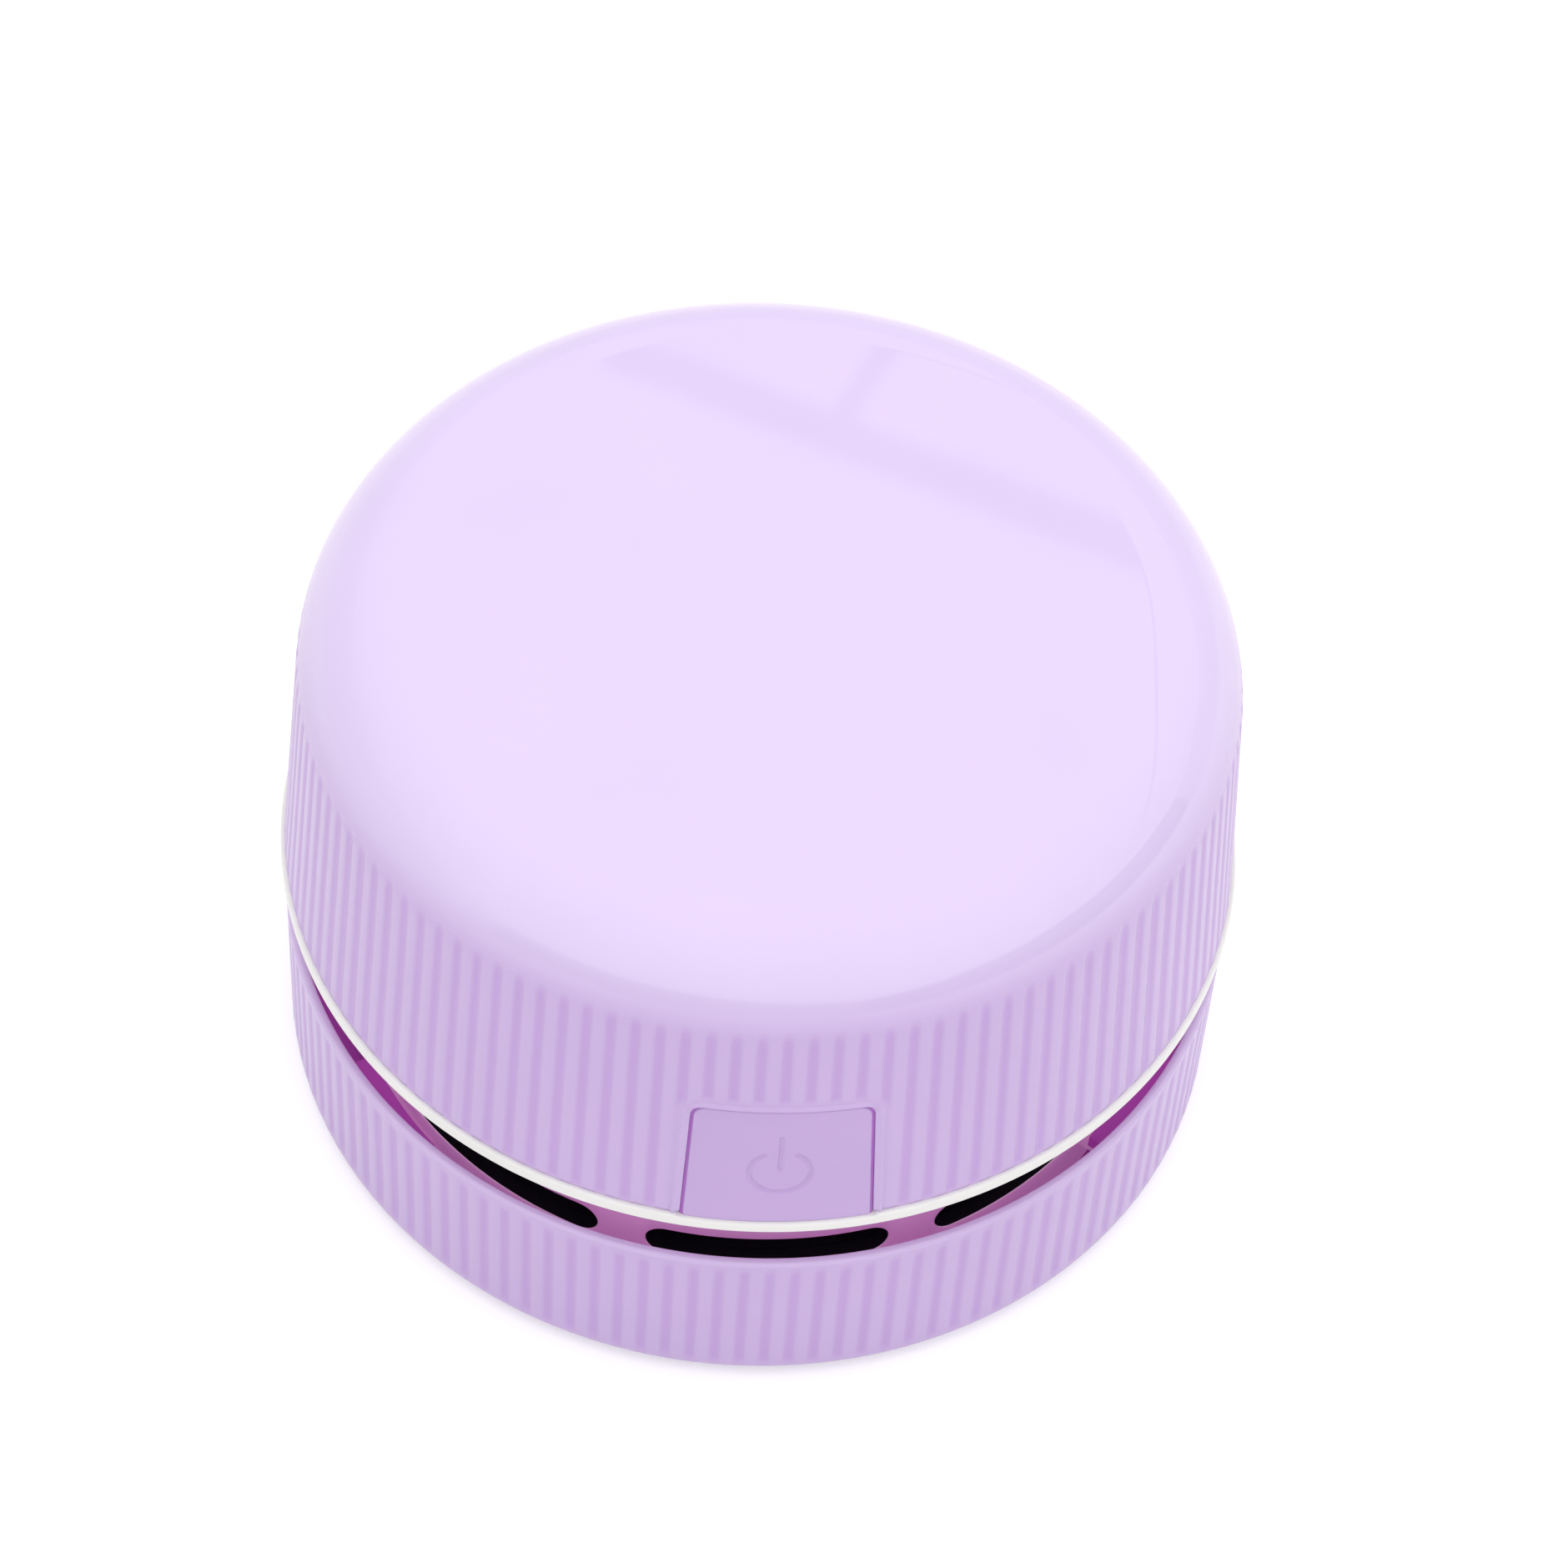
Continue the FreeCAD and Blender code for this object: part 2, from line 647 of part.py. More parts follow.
def make_motor_terminals():
    cap_top = motor_top_z + end_cap_height
    tabs = []
    for y in (-terminal_offset, terminal_offset):
        eye_end = FreeCAD.Vector(0, y - past, cap_top + terminal_eye_height)
        eye = Part.makeCylinder(terminal_eye_radius, 2 * past, eye_end, along)
        tabs.append(terminal_bar(y, cap_top + terminal_height).cut(eye))
    return Part.makeCompound(tabs)


def make_motor_armature():
    """Iron core on the shaft, slotted between its poles."""
    foot = motor_z + (motor_length - armature_length) / 2 - past
    head = foot + armature_length + 2 * past
    core = disc(armature_radius, foot + past, head - past)
    slot = block(-armature_slot / 2, armature_slot / 2, -armature_radius - past, -armature_slot_foot,
                 foot, head)
    for cut in around(slot, pole_count):
        core = core.cut(cut)
    return core.cut(disc(shaft_radius, foot, head))


def make_motor_magnets():
    """Two arcs inside the can's round sides, trimmed at its flats."""
    z = motor_z + (motor_length - magnet_length) / 2
    outer = motor_radius - motor_wall
    flat = motor_flat - motor_wall - play
    room = block(-flat, flat, -outer, outer, z, z + magnet_length)
    arc = sector(outer - magnet_thickness, outer, z, z + magnet_length, 0, magnet_span)
    return Part.makeCompound([piece.common(room) for piece in around(arc, 2)])


def make_motor_shaft():
    return disc(shaft_radius, fan_z + past, motor_top_z + end_bearing_depth - shaft_end_gap)


def make_cell(side):
    """Cell along Y; the left one's nub points to the front and the right one's to the back."""
    body = Part.makeCylinder(cell_radius, cell_body_length, centre, along)
    body = body.makeFillet(cell_edge, [e for e in body.Edges if e.isClosed()])
    nub = Part.makeCylinder(nub_radius, nub_length + weld, FreeCAD.Vector(0, -nub_length, 0), along)
    cell = body.fuse(nub)
    cell.translate(FreeCAD.Vector(0, -bay_half_length + nub_length, 0))
    if side > 0:
        cell.rotate(centre, up, 180)
    cell.translate(FreeCAD.Vector(side * cell_offset, 0, cell_z))
    return cell


def contact_plate(side, end):
    """Square plate at one end of a cell bay."""
    y = end * bay_half_length
    x = side * cell_offset
    half = contact_size / 2
    return block(x - half, x + half, min(y, y + end * contact_thickness), max(y, y + end * contact_thickness),
                 cell_z - half, cell_z + half)


def strap(x0, x1, end):
    """Flat strip at the top of the contact plates of one end."""
    y = end * bay_half_length
    return block(x0, x1, min(y, y + end * contact_thickness), max(y, y + end * contact_thickness),
                 strap_z - strap_width / 2, strap_z + strap_width / 2)


def make_front_contact(side):
    """Front plate with a strap to its soldering end, beside the button guide."""
    ends = sorted([side * strap_end_x, side * cell_offset])
    return contact_plate(side, -1).fuse(strap(ends[0], ends[1], -1)).removeSplitter()


def make_contact_bridge():
    """Back plate that joins the two cells behind the motor."""
    plates = contact_plate(-1, 1).fuse(contact_plate(1, 1))
    return plates.fuse(strap(-cell_offset, cell_offset, 1)).removeSplitter()


def make_contact_springs():
    """Conical springs behind the flat ends of the cells."""
    springs = []
    for side, end in ((-1, 1), (1, -1)):
        reach = spring_length - 2 * spring_wire
        lean = math.degrees(math.atan((spring_root_radius - spring_tip_radius) / reach))
        helix = Part.makeLongHelix(reach / spring_turns, reach, spring_tip_radius, lean)
        circle = Part.makeCircle(spring_wire, FreeCAD.Vector(spring_tip_radius, 0, 0), along)
        coil = Part.Wire(helix.Edges).makePipeShell([Part.Wire([circle])], True, True)
        coil.translate(FreeCAD.Vector(0, 0, spring_wire))
        coil.rotate(centre, FreeCAD.Vector(1, 0, 0), -90 * end)
        coil.translate(FreeCAD.Vector(side * cell_offset, end * (bay_half_length - spring_length), cell_z))
        springs.append(coil)
    return Part.makeCompound(springs)


def make_lead(*route):
    """Round lead along straight runs joined by arcs that touch both runs."""
    edges = []
    start = route[0]
    for before, corner, after in zip(route, route[1:], route[2:]):
        reach = lead_bend * min(before.distanceToPoint(corner), corner.distanceToPoint(after))
        inwards = (corner - before).normalize()
        outwards = (after - corner).normalize()
        half_turn = inwards.getAngle(outwards) / 2
        radius = reach / math.tan(half_turn)
        middle = corner + (outwards - inwards).normalize() * (radius / math.cos(half_turn) - radius)
        enter = corner - inwards * reach
        leave = corner + outwards * reach
        edges += [Part.makeLine(start, enter), Part.Arc(enter, middle, leave).toShape()]
        start = leave
    edges.append(Part.makeLine(start, route[-1]))
    section = Part.Wire(Part.makeCircle(lead_radius, route[0], route[1] - route[0]))
    return Part.Wire(edges).makePipeShell([section], True, False)


def make_lead_cell_to_switch():
    x = -(strap_end_x + strap_overhang / 2)
    y = -tower_radius - lead_tower_gap
    return make_lead(FreeCAD.Vector(x, -bay_half_length, strap_z),
                     FreeCAD.Vector(x, y - lead_tower_gap, strap_z),
                     FreeCAD.Vector(x * 0.8, y, button_mid_z + (strap_z - button_mid_z) / 3),
                     FreeCAD.Vector(-pin_spacing, y, button_mid_z),
                     FreeCAD.Vector(-pin_spacing, switch_back_y + pin_length, button_mid_z))


def make_lead_switch_to_motor():
    pin_end = switch_back_y + pin_length
    tab = -terminal_offset - terminal_thickness / 2
    return make_lead(FreeCAD.Vector(pin_spacing, pin_end, button_mid_z),
                     FreeCAD.Vector(pin_spacing, pin_end + lead_stub, button_mid_z),
                     FreeCAD.Vector(pin_spacing * 0.8, pin_end + lead_stub + lead_radius,
                                    (button_mid_z + terminal_z) / 2),
                     FreeCAD.Vector(0, tab - lead_stub, terminal_z),
                     FreeCAD.Vector(0, tab, terminal_z))


def make_lead_motor_to_cell():
    x = strap_end_x + strap_overhang / 2
    tab = terminal_offset + terminal_thickness / 2
    return make_lead(FreeCAD.Vector(x, -bay_half_length, strap_z),
                     FreeCAD.Vector(x, -bay_half_length + lead_strap_run, strap_z),
                     FreeCAD.Vector(x - lead_radius / 2, -terminal_offset, terminal_z - 2 * lead_radius),
                     FreeCAD.Vector(x - lead_radius, terminal_offset, terminal_z + lead_radius / 2),
                     FreeCAD.Vector(lead_stub, tab + lead_stub, terminal_z + lead_radius / 3),
                     FreeCAD.Vector(0, tab + lead_stub, terminal_z),
                     FreeCAD.Vector(0, tab, terminal_z))


def make_switch_body():
    body = block(-switch_half_width, switch_half_width, switch_front_y, switch_back_y, switch_z, switch_top_z)
    half = plunger_size / 2 + plunger_fit
    return body.cut(block(-half, half, switch_front_y - past, switch_front_y + plunger_bore,
                          button_mid_z - half, button_mid_z + half))


def make_switch_plunger():
    half = plunger_size / 2
    return block(-half, half, plunger_front_y, switch_front_y + plunger_depth,
                 button_mid_z - half, button_mid_z + half)


def make_switch_pins():
    return Part.makeCompound([block(x - pin_width / 2, x + pin_width / 2, switch_back_y,
                                    switch_back_y + pin_length, button_mid_z - pin_thickness / 2,
                                    button_mid_z + pin_thickness / 2)
                              for x in (-pin_spacing, 0, pin_spacing)])


def make_dust_box():
    """Dust box: ribbed wall, floor with the suction mouth, chamber wall and bayonet hooks."""
    outer = cone(foot_radius, rim_radius, base_z, rim_z)
    foot_edge = [e for e in outer.Edges if e.isClosed() and e.BoundBox.ZMax < base_z + tiny]
    outer = outer.makeChamfer(foot_bevel, foot_edge)
    inner = cone(rim_radius - dust_wall - dust_wall_draft, rim_radius - dust_wall, floor_z, rim_z)
    wall = outer.cut(inner)
    rim = [e for e in wall.Edges if e.isClosed() and e.BoundBox.ZMin > rim_z - tiny]
    wall = wall.makeChamfer(rim_bevel, rim)
    wall = wall.cut(groove_cutters(foot_radius, rim_radius, base_z - past, rim_z + past))
    chamber_bore = chamber_wall_radius - chamber_wall
    box = wall.fuse(ring(chamber_wall_radius, chamber_bore, floor_z - weld, chamber_top_z))
    box = box.fuse(ring(mouth_radius + mouth_wall, mouth_radius, floor_z - weld, floor_z + mouth_lip_height))
    groove_outer = brush_groove_radius + brush_groove_width / 2
    groove_inner = brush_groove_radius - brush_groove_width / 2
    box = box.fuse(ring(groove_outer + brush_groove_cap, groove_inner - brush_groove_cap, floor_z - weld,
                        base_z + brush_groove_depth + brush_groove_cap))
    lug_top = collar_foot_z + lug_base + lug_height
    hook_inner = collar_radius + hook_clearance
    hook_outer = rim_radius - dust_wall - dust_wall_draft / 2
    hook = sector(hook_inner, hook_outer, lug_top + lug_clearance, lug_top + lug_clearance + hook_height,
                  0, hook_span)
    stop_angle = lug_span / 2 + stop_clearance + stop_span / 2
    stop = sector(hook_inner, hook_outer, floor_z - weld, lug_top + lug_clearance + hook_height,
                  stop_angle, stop_span)
    hook = hook.fuse(stop)
    for piece in around(hook, lug_count, hook_angle):
        box = box.fuse(piece)
    box = box.cut(disc(mouth_radius, base_z - past, floor_z + mouth_lip_height + past))
    box = box.cut(ring(groove_outer, groove_inner, base_z - past, base_z + brush_groove_depth))
    for cut in around(disc(glide_radius + play, base_z - past, base_z + glide_recess, place(glide_circle, 0)),
                      glide_count):
        box = box.cut(cut)
    return box.removeSplitter()


def make_glide_pads():
    pad = disc(glide_radius, 0, base_z + glide_recess, place(glide_circle, 0))
    edge = [e for e in pad.Edges if e.isClosed() and e.BoundBox.ZMax < tiny]
    return Part.makeCompound(around(pad.makeChamfer(glide_bevel, edge), glide_count))


def make_brush_ring():
    half = brush_groove_width / 2 - play
    top = base_z + brush_groove_depth
    return ring(brush_groove_radius + half, brush_groove_radius - half, top - brush_ring_thickness, top)


def make_brush_tufts():
    top = base_z + brush_groove_depth - brush_ring_thickness
    tuft = Part.makeCone(tuft_tip_radius, tuft_root_radius, top - tuft_clearance,
                         place(brush_groove_radius, 0, tuft_clearance))
    return Part.makeCompound(around(tuft, tuft_count))


def make_dust_seal():
    return ring(chamber_wall_radius - play, chamber_wall_radius - chamber_wall, chamber_top_z, filter_z)


def make_filter_frame():
    """Ring with spokes; the mesh lies in a recess in its top."""
    frame = ring(filter_radius, filter_radius - filter_rim, filter_z, filter_z + filter_thickness)
    frame = frame.fuse(disc(filter_hub_radius, filter_z, filter_z + filter_thickness))
    spoke = block(-filter_spoke_width / 2, filter_spoke_width / 2, -filter_radius + filter_rim / 2, 0,
                  filter_z, filter_z + filter_thickness)
    for copy in around(spoke, filter_spokes):
        frame = frame.fuse(copy)
    recess = disc(filter_radius - filter_rim / 2, filter_z + filter_thickness - mesh_thickness,
                  filter_z + filter_thickness + past)
    return frame.cut(recess).removeSplitter()


def make_filter_mesh():
    top = filter_z + filter_thickness
    return disc(filter_radius - filter_rim / 2 - play, top - mesh_thickness, top)


makers = {
    "top_cover": make_top_cover,
    "power_button": make_power_button,
    "battery_deck": make_battery_deck,
    "exhaust_collar": make_exhaust_collar,
    "inlet_plate": make_inlet_plate,
    "plate_screws": make_plate_screws,
    "deck_screws": make_deck_screws,
    "motor_screws": make_motor_screws,
    "fan_impeller": make_fan_impeller,
    "motor_can": make_motor_can,
    "motor_bushing": make_motor_bushing,
    "motor_pad": make_motor_pad,
    "motor_end_cap": make_motor_end_cap,
    "motor_terminals": make_motor_terminals,
    "motor_armature": make_motor_armature,
    "motor_magnets": make_motor_magnets,
    "motor_shaft": make_motor_shaft,
    "aa_cell_left": lambda: make_cell(-1),
    "aa_cell_right": lambda: make_cell(1),
    "contact_positive": lambda: make_front_contact(-1),
    "contact_negative": lambda: make_front_contact(1),
    "contact_bridge": make_contact_bridge,
    "contact_springs": make_contact_springs,
    "lead_cell_to_switch": make_lead_cell_to_switch,
    "lead_switch_to_motor": make_lead_switch_to_motor,
    "lead_motor_to_cell": make_lead_motor_to_cell,
    "switch_body": make_switch_body,
    "switch_plunger": make_switch_plunger,
    "switch_pins": make_switch_pins,
    "dust_box": make_dust_box,
    "glide_pads": make_glide_pads,
    "brush_ring": make_brush_ring,
    "brush_tufts": make_brush_tufts,
    "dust_seal": make_dust_seal,
    "filter_frame": make_filter_frame,
    "filter_mesh": make_filter_mesh,
}

os.makedirs("parts", exist_ok=True)
for name, maker in makers.items():
    shape = maker()
    shape.exportStep("parts/" + name + ".step")
    print(name, "valid" if shape.isValid() else "INVALID", len(shape.Solids), round(shape.Volume, 1))
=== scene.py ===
import json
import math
import bmesh
import bpy
import numpy as np
from mathutils import Matrix, Vector


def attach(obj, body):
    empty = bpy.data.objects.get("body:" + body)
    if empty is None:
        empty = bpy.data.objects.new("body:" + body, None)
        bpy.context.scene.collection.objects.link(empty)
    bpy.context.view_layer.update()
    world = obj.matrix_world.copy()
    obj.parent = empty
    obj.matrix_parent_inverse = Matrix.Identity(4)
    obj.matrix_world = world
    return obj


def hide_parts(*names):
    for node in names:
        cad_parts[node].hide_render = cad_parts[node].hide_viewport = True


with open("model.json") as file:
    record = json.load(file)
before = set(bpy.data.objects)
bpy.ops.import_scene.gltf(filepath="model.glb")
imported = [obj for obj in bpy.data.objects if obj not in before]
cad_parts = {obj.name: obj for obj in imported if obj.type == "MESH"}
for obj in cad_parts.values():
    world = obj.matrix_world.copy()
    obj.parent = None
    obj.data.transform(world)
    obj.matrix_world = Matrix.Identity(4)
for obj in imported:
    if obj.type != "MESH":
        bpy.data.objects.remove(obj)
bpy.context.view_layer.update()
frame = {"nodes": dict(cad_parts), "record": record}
mm = 0.001
mergeReach = 2e-6  # metres between points that are made one
bodyOf = {node: body for body, nodes in frame["record"]["behaviour"]["bodies"].items() for node in nodes}
print("frame loaded:", len(frame["nodes"]), "nodes")


def smoothStep(low, high, x):
    # 0 below low, 1 above high, an S curve between
    t = np.clip((x - low) / (high - low), 0.0, 1.0)
    return t * t * (3.0 - 2.0 * t)


def softMin(a, b, width):
    # the smaller of two, with the crossing rounded over a width
    h = np.clip(0.5 + 0.5 * (b - a) / width, 0.0, 1.0)
    return b + (a - b) * h - width * h * (1.0 - h)


def turned(radius, angle, z):
    # x, y, z of points at a radius and an angle from the front, growing towards +X
    radius, angle, z = np.broadcast_arrays(radius, angle, z)
    return np.stack([radius * np.sin(angle), -radius * np.cos(angle), z], -1)


def gridQuads(rows, columns, wrapRows=False, wrapColumns=False, keep=None):
    # corner numbers of each cell of a grid stored row by row
    i = np.arange(rows if wrapRows else rows - 1)[:, None]
    j = np.arange(columns if wrapColumns else columns - 1)[None, :]
    i2, j2 = (i + 1) % rows, (j + 1) % columns
    quads = np.stack([i * columns + j, i * columns + j2, i2 * columns + j2, i2 * columns + j], -1)
    return quads[keep] if keep is not None else quads.reshape(-1, 4)


def sheetShell(points, **how):
    # one grid of points (rows, columns, 3) as a shell
    return points.reshape(-1, 3), gridQuads(points.shape[0], points.shape[1], **how)


def plateShell(front, back, keep=None, wrapColumns=False, openTop=False):
    # two grids of the same size as both skins of a plate, with walls wherever a kept cell lacks a neighbour
    rows, columns = front.shape[:2]
    count = rows * columns
    across = columns if wrapColumns else columns - 1
    if keep is None:
        keep = np.ones((rows - 1, across), bool)
    skin = gridQuads(rows, columns, wrapColumns=wrapColumns, keep=keep)
    index = np.arange(count).reshape(rows, columns)
    nextOne = np.roll(index, -1, 1)[:, :across]
    below = np.vstack([np.zeros((1, across), bool), keep])
    above = np.vstack([keep, np.zeros((1, across), bool)])
    if openTop:
        above[-1] = below[-1]
    i, j = np.nonzero(below != above)
    a, b = index[i, j], nextOne[i, j]
    walls = [np.stack([a, b, b + count, a + count], -1)]
    if wrapColumns:
        edge = keep != np.roll(keep, 1, 1)
    else:
        edge = np.hstack([keep, np.zeros((rows - 1, 1), bool)]) != np.hstack([np.zeros((rows - 1, 1), bool), keep])
    i, j = np.nonzero(edge)
    a, b = index[i, j], index[i + 1, j]
    walls.append(np.stack([a, b, b + count, a + count], -1))
    points = np.concatenate([front.reshape(-1, 3), back.reshape(-1, 3)])
    return points, np.concatenate([skin, skin[:, ::-1] + count] + walls)


def tubeShell(sections):
    # closed cross-sections (path, around, 3) joined along a path, with a flat face at each end
    rows, columns = sections.shape[:2]
    faces = gridQuads(rows, columns, wrapColumns=True).tolist()
    faces += [list(range(columns))[::-1], list(range((rows - 1) * columns, rows * columns))]
    return sections.reshape(-1, 3), faces


def latheShell(profile, sides=96, at=(0.0, 0.0), closed=False):
    # a profile of (radius, z) turned about an upright axis; a closed one gives a ring, and an open one starts and
    # ends on the axis, where merging closes it
    profile = np.asarray(profile, float)
    angle = np.arange(sides) * 2 * math.pi / sides
    points = turned(profile[:, :1], angle[None, :], profile[:, 1:]) + np.array([at[0], at[1], 0.0])
    return sheetShell(points, wrapRows=closed, wrapColumns=True)


def boxShell(x0, x1, y0, y1, z0, z1):
    # a block from its lowest and highest x, y and z: four corners round the foot, then four round the top
    corners = np.array([[x, y, z] for z in (z0, z1) for x, y in ((x0, y0), (x1, y0), (x1, y1), (x0, y1))])
    return corners, [[3, 2, 1, 0], [4, 5, 6, 7], [0, 1, 5, 4], [1, 2, 6, 5], [2, 3, 7, 6], [3, 0, 4, 7]]


def sectorBlock(r0, r1, z0, z1, middle, span, steps=9):
    # block between two radii, two heights and two angles
    angle = np.radians(middle + np.linspace(-span / 2, span / 2, steps))[:, None]
    r, z = np.array([[r0, r1, r1, r0]]), np.array([[z0, z0, z1, z1]])
    return tubeShell(turned(r, angle, z))


def joined(shells):
    # several shells as one list of points and faces
    points, faces, start = [], [], 0
    for shellPoints, shellFaces in shells:
        points.append(np.asarray(shellPoints, float))
        if isinstance(shellFaces, np.ndarray):
            faces.extend((shellFaces + start).tolist())
        else:
            faces.extend([[k + start for k in face] for face in shellFaces])
        start += len(shellPoints)
    return np.concatenate(points), faces


def mendMesh(mesh, flat=0.0):
    # merge doubles, drop loose points, make one face of those within an angle of flat, and turn all faces outwards
    work = bmesh.new()
    work.from_mesh(mesh)
    bmesh.ops.remove_doubles(work, verts=work.verts, dist=mergeReach)
    bmesh.ops.delete(work, geom=[v for v in work.verts if not v.link_faces], context="VERTS")
    if flat:
        bmesh.ops.dissolve_limit(work, angle_limit=math.radians(flat), verts=work.verts, edges=work.edges)
    bmesh.ops.recalc_face_normals(work, faces=work.faces)
    work.to_mesh(mesh)
    work.free()


def makePiece(name, shells, finish, nodes, sharp, others=()):
    # shells in millimetres become one object that stands for CAD nodes and rides on their body; others gives
    # further finishes, each with the numbers of the shells that have it
    points, faces = joined(shells)
    mesh = bpy.data.meshes.new(name)
    mesh.from_pydata((points * mm).tolist(), [], faces)
    layer = np.zeros(len(shells), int)
    for number, (_, members) in enumerate(others):
        layer[list(members)] = number + 1
    mesh.polygons.foreach_set("material_index", np.repeat(layer, [len(shell[1]) for shell in shells]))
    mendMesh(mesh)
    return finishPiece(name, mesh, finish, nodes, sharp, extras=[extra for extra, _ in others])


def finishPiece(name, mesh, finish, nodes, sharp, bevel=0.0, extras=()):
    # smooth shading up to a sharp angle in degrees, materials, rounded edges and body of a new piece
    mesh.shade_smooth()
    mesh.set_sharp_from_angle(angle=math.radians(sharp))
    piece = bpy.data.objects.new(name, mesh)
    bpy.context.scene.collection.objects.link(piece)
    layers = np.empty(len(mesh.polygons), int)
    mesh.polygons.foreach_get("material_index", layers)
    mesh.materials.clear()
    for each in (finish, *extras):
        mesh.materials.append(finishes[each])
    mesh.polygons.foreach_set("material_index", layers if extras else layers * 0)
    if bevel:
        edge = piece.modifiers.new("edges", "BEVEL")
        edge.width = bevel * mm
        edge.segments = 2
        edge.limit_method = "ANGLE"
        edge.angle_limit = math.radians(sharp)
        edge.harden_normals = True
    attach(piece, bodyOf[nodes[0]])
    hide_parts(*nodes)
    return piece


def softenedCopy(node, finish, bevel):
    # a merged copy of a CAD node's mesh, flat faces made whole, with its edges rounded
    mesh = frame["nodes"][node].data.copy()
    mesh.name = node + "_soft"
    mendMesh(mesh, flat=0.3)
    finishPiece(node + "_soft", mesh, finish, [node], 35.0, bevel)


def faceAverages(piece):
    # average radius and height of each face's corners, in millimetres
    mesh = piece.data
    points, corners = np.empty(len(mesh.vertices) * 3), np.empty(len(mesh.loops), int)
    starts, counts = np.empty(len(mesh.polygons), int), np.empty(len(mesh.polygons), int)
    mesh.vertices.foreach_get("co", points)
    mesh.loops.foreach_get("vertex_index", corners)
    mesh.polygons.foreach_get("loop_start", starts)
    mesh.polygons.foreach_get("loop_total", counts)
    x, y, z = points[0::3] / mm, points[1::3] / mm, points[2::3] / mm
    return [np.add.reduceat(values[corners], starts) / counts for values in (np.hypot(x, y), z)]


def repaint(piece, finish, chosen):
    # a second finish on the faces that a mask picks out
    piece.data.materials.append(finishes[finish])
    piece.data.polygons.foreach_set("material_index", chosen.astype(int))


def paintShell(piece, plain, polishAndPaintedHighlight):
    # how deep each point lies below the rib crests, which sets a painted shade in the grooves, and how polished it
    # is, which sets both its gloss and a painted highlight, from its own place
    points = np.empty(len(piece.data.vertices) * 3)
    piece.data.vertices.foreach_get("co", points)
    points = points.reshape(-1, 3) / mm
    radius, z = np.hypot(points[:, 0], points[:, 1]), points[:, 2]
    depth = (plain(z) - radius) / ribs["depth"]
    groove = np.where(depth < 1.2, np.clip(depth, 0, 1), 0.0)  # what lies deeper is no part of a rib
    for name, values in (("groove", groove), ("polishAndPaintedHighlight", polishAndPaintedHighlight(radius, z))):
        piece.data.attributes.new(name, "FLOAT", "POINT").data.foreach_set("value", values.astype(np.float32))


materialValues = {
    "lilac_shell": {"colour": (0.690, 0.530, 0.890), "rough": 0.16, "specular": 1.0, "grain": 0.006},
    "lilac_button": {"colour": (0.545, 0.378, 0.705), "rough": 0.24, "specular": 0.6, "grain": 0.012},
    # violet_collar's glow is painted light: it stands in for light scattered through the translucent plastic in the
    # shade under the lid, and for a pale reflection
    "violet_collar": {"colour": (0.880, 0.560, 0.840), "rough": 0.16, "specular": 1.0, "grain": 0.01,
                      "coat": 0.6, "glow": (0.125, 0.075, 0.112)},
    # deep_lilac and deep_violet are painted shade with a painted glow: deep_lilac on the skirt in the gap round the
    # button, deep_violet on the dust box's shaded inside
    "deep_lilac": {"colour": (0.420, 0.150, 0.520), "rough": 0.4, "specular": 0.2, "grain": 0.012,
                   "glow": (0.030, 0.005, 0.036)},
    "deep_violet": {"colour": (0.580, 0.140, 0.580), "rough": 0.4, "specular": 0.2, "grain": 0.012,
                    "glow": (0.060, 0.008, 0.060)},
    "white_plastic": {"colour": (0.860, 0.855, 0.830), "rough": 0.30, "specular": 0.5, "grain": 0.02},
    "black_plastic": {"colour": (0.012, 0.011, 0.016), "rough": 0.45, "specular": 0.08, "grain": 0.04},
    "grey_plastic": {"colour": (0.300, 0.305, 0.320), "rough": 0.42, "specular": 0.5, "grain": 0.03},
    "glide": {"colour": (0.560, 0.560, 0.580), "rough": 0.34, "specular": 0.4, "grain": 0.03},
    "cell_case": {"colour": (0.045, 0.160, 0.120), "rough": 0.28, "specular": 0.6, "grain": 0.01},
    "lead_red": {"colour": (0.520, 0.020, 0.016), "rough": 0.36, "specular": 0.5, "grain": 0.02},
    "lead_black": {"colour": (0.014, 0.014, 0.015), "rough": 0.36, "specular": 0.5, "grain": 0.02},
    "motor_steel": {"colour": (0.560, 0.560, 0.550), "rough": 0.30, "metal": 1.0, "grain": 0.03},
    "screw_steel": {"colour": (0.500, 0.500, 0.510), "rough": 0.26, "metal": 1.0, "grain": 0.03},
    "armature_steel": {"colour": (0.330, 0.330, 0.340), "rough": 0.42, "metal": 1.0, "grain": 0.05},
    "brass": {"colour": (0.620, 0.440, 0.160), "rough": 0.30, "metal": 1.0, "grain": 0.03},
    "nickel": {"colour": (0.640, 0.620, 0.580), "rough": 0.24, "metal": 1.0, "grain": 0.02},
    "magnet": {"colour": (0.060, 0.058, 0.060), "rough": 0.62, "specular": 0.4, "grain": 0.10},
    "foam": {"colour": (0.070, 0.070, 0.075), "rough": 0.92, "specular": 0.2, "grain": 0.30},
    "seal": {"colour": (0.045, 0.045, 0.048), "rough": 0.70, "specular": 0.3, "grain": 0.06},
    "bristle": {"colour": (0.230, 0.200, 0.250), "rough": 0.45, "specular": 0.5, "grain": 0.0},
    "mesh": {"colour": (0.600, 0.600, 0.600), "rough": 0.60, "specular": 0.3, "grain": 0.10},
}


surfaceValues = {"cloudScale": 70.0, "cloudDetail": 3.0, "cloudDark": 0.975, "cloudPale": 1.02,
                 "smearScale": 260.0, "smearDetail": 2.0, "smearShare": 0.12,
                 "grainScale": 3200.0, "grainDetail": 1.0, "grainHeight": 0.00002}


def setInputs(node, values):
    # plain values of a node's own sockets
    for name, value in values.items():
        node.inputs[name].default_value = value


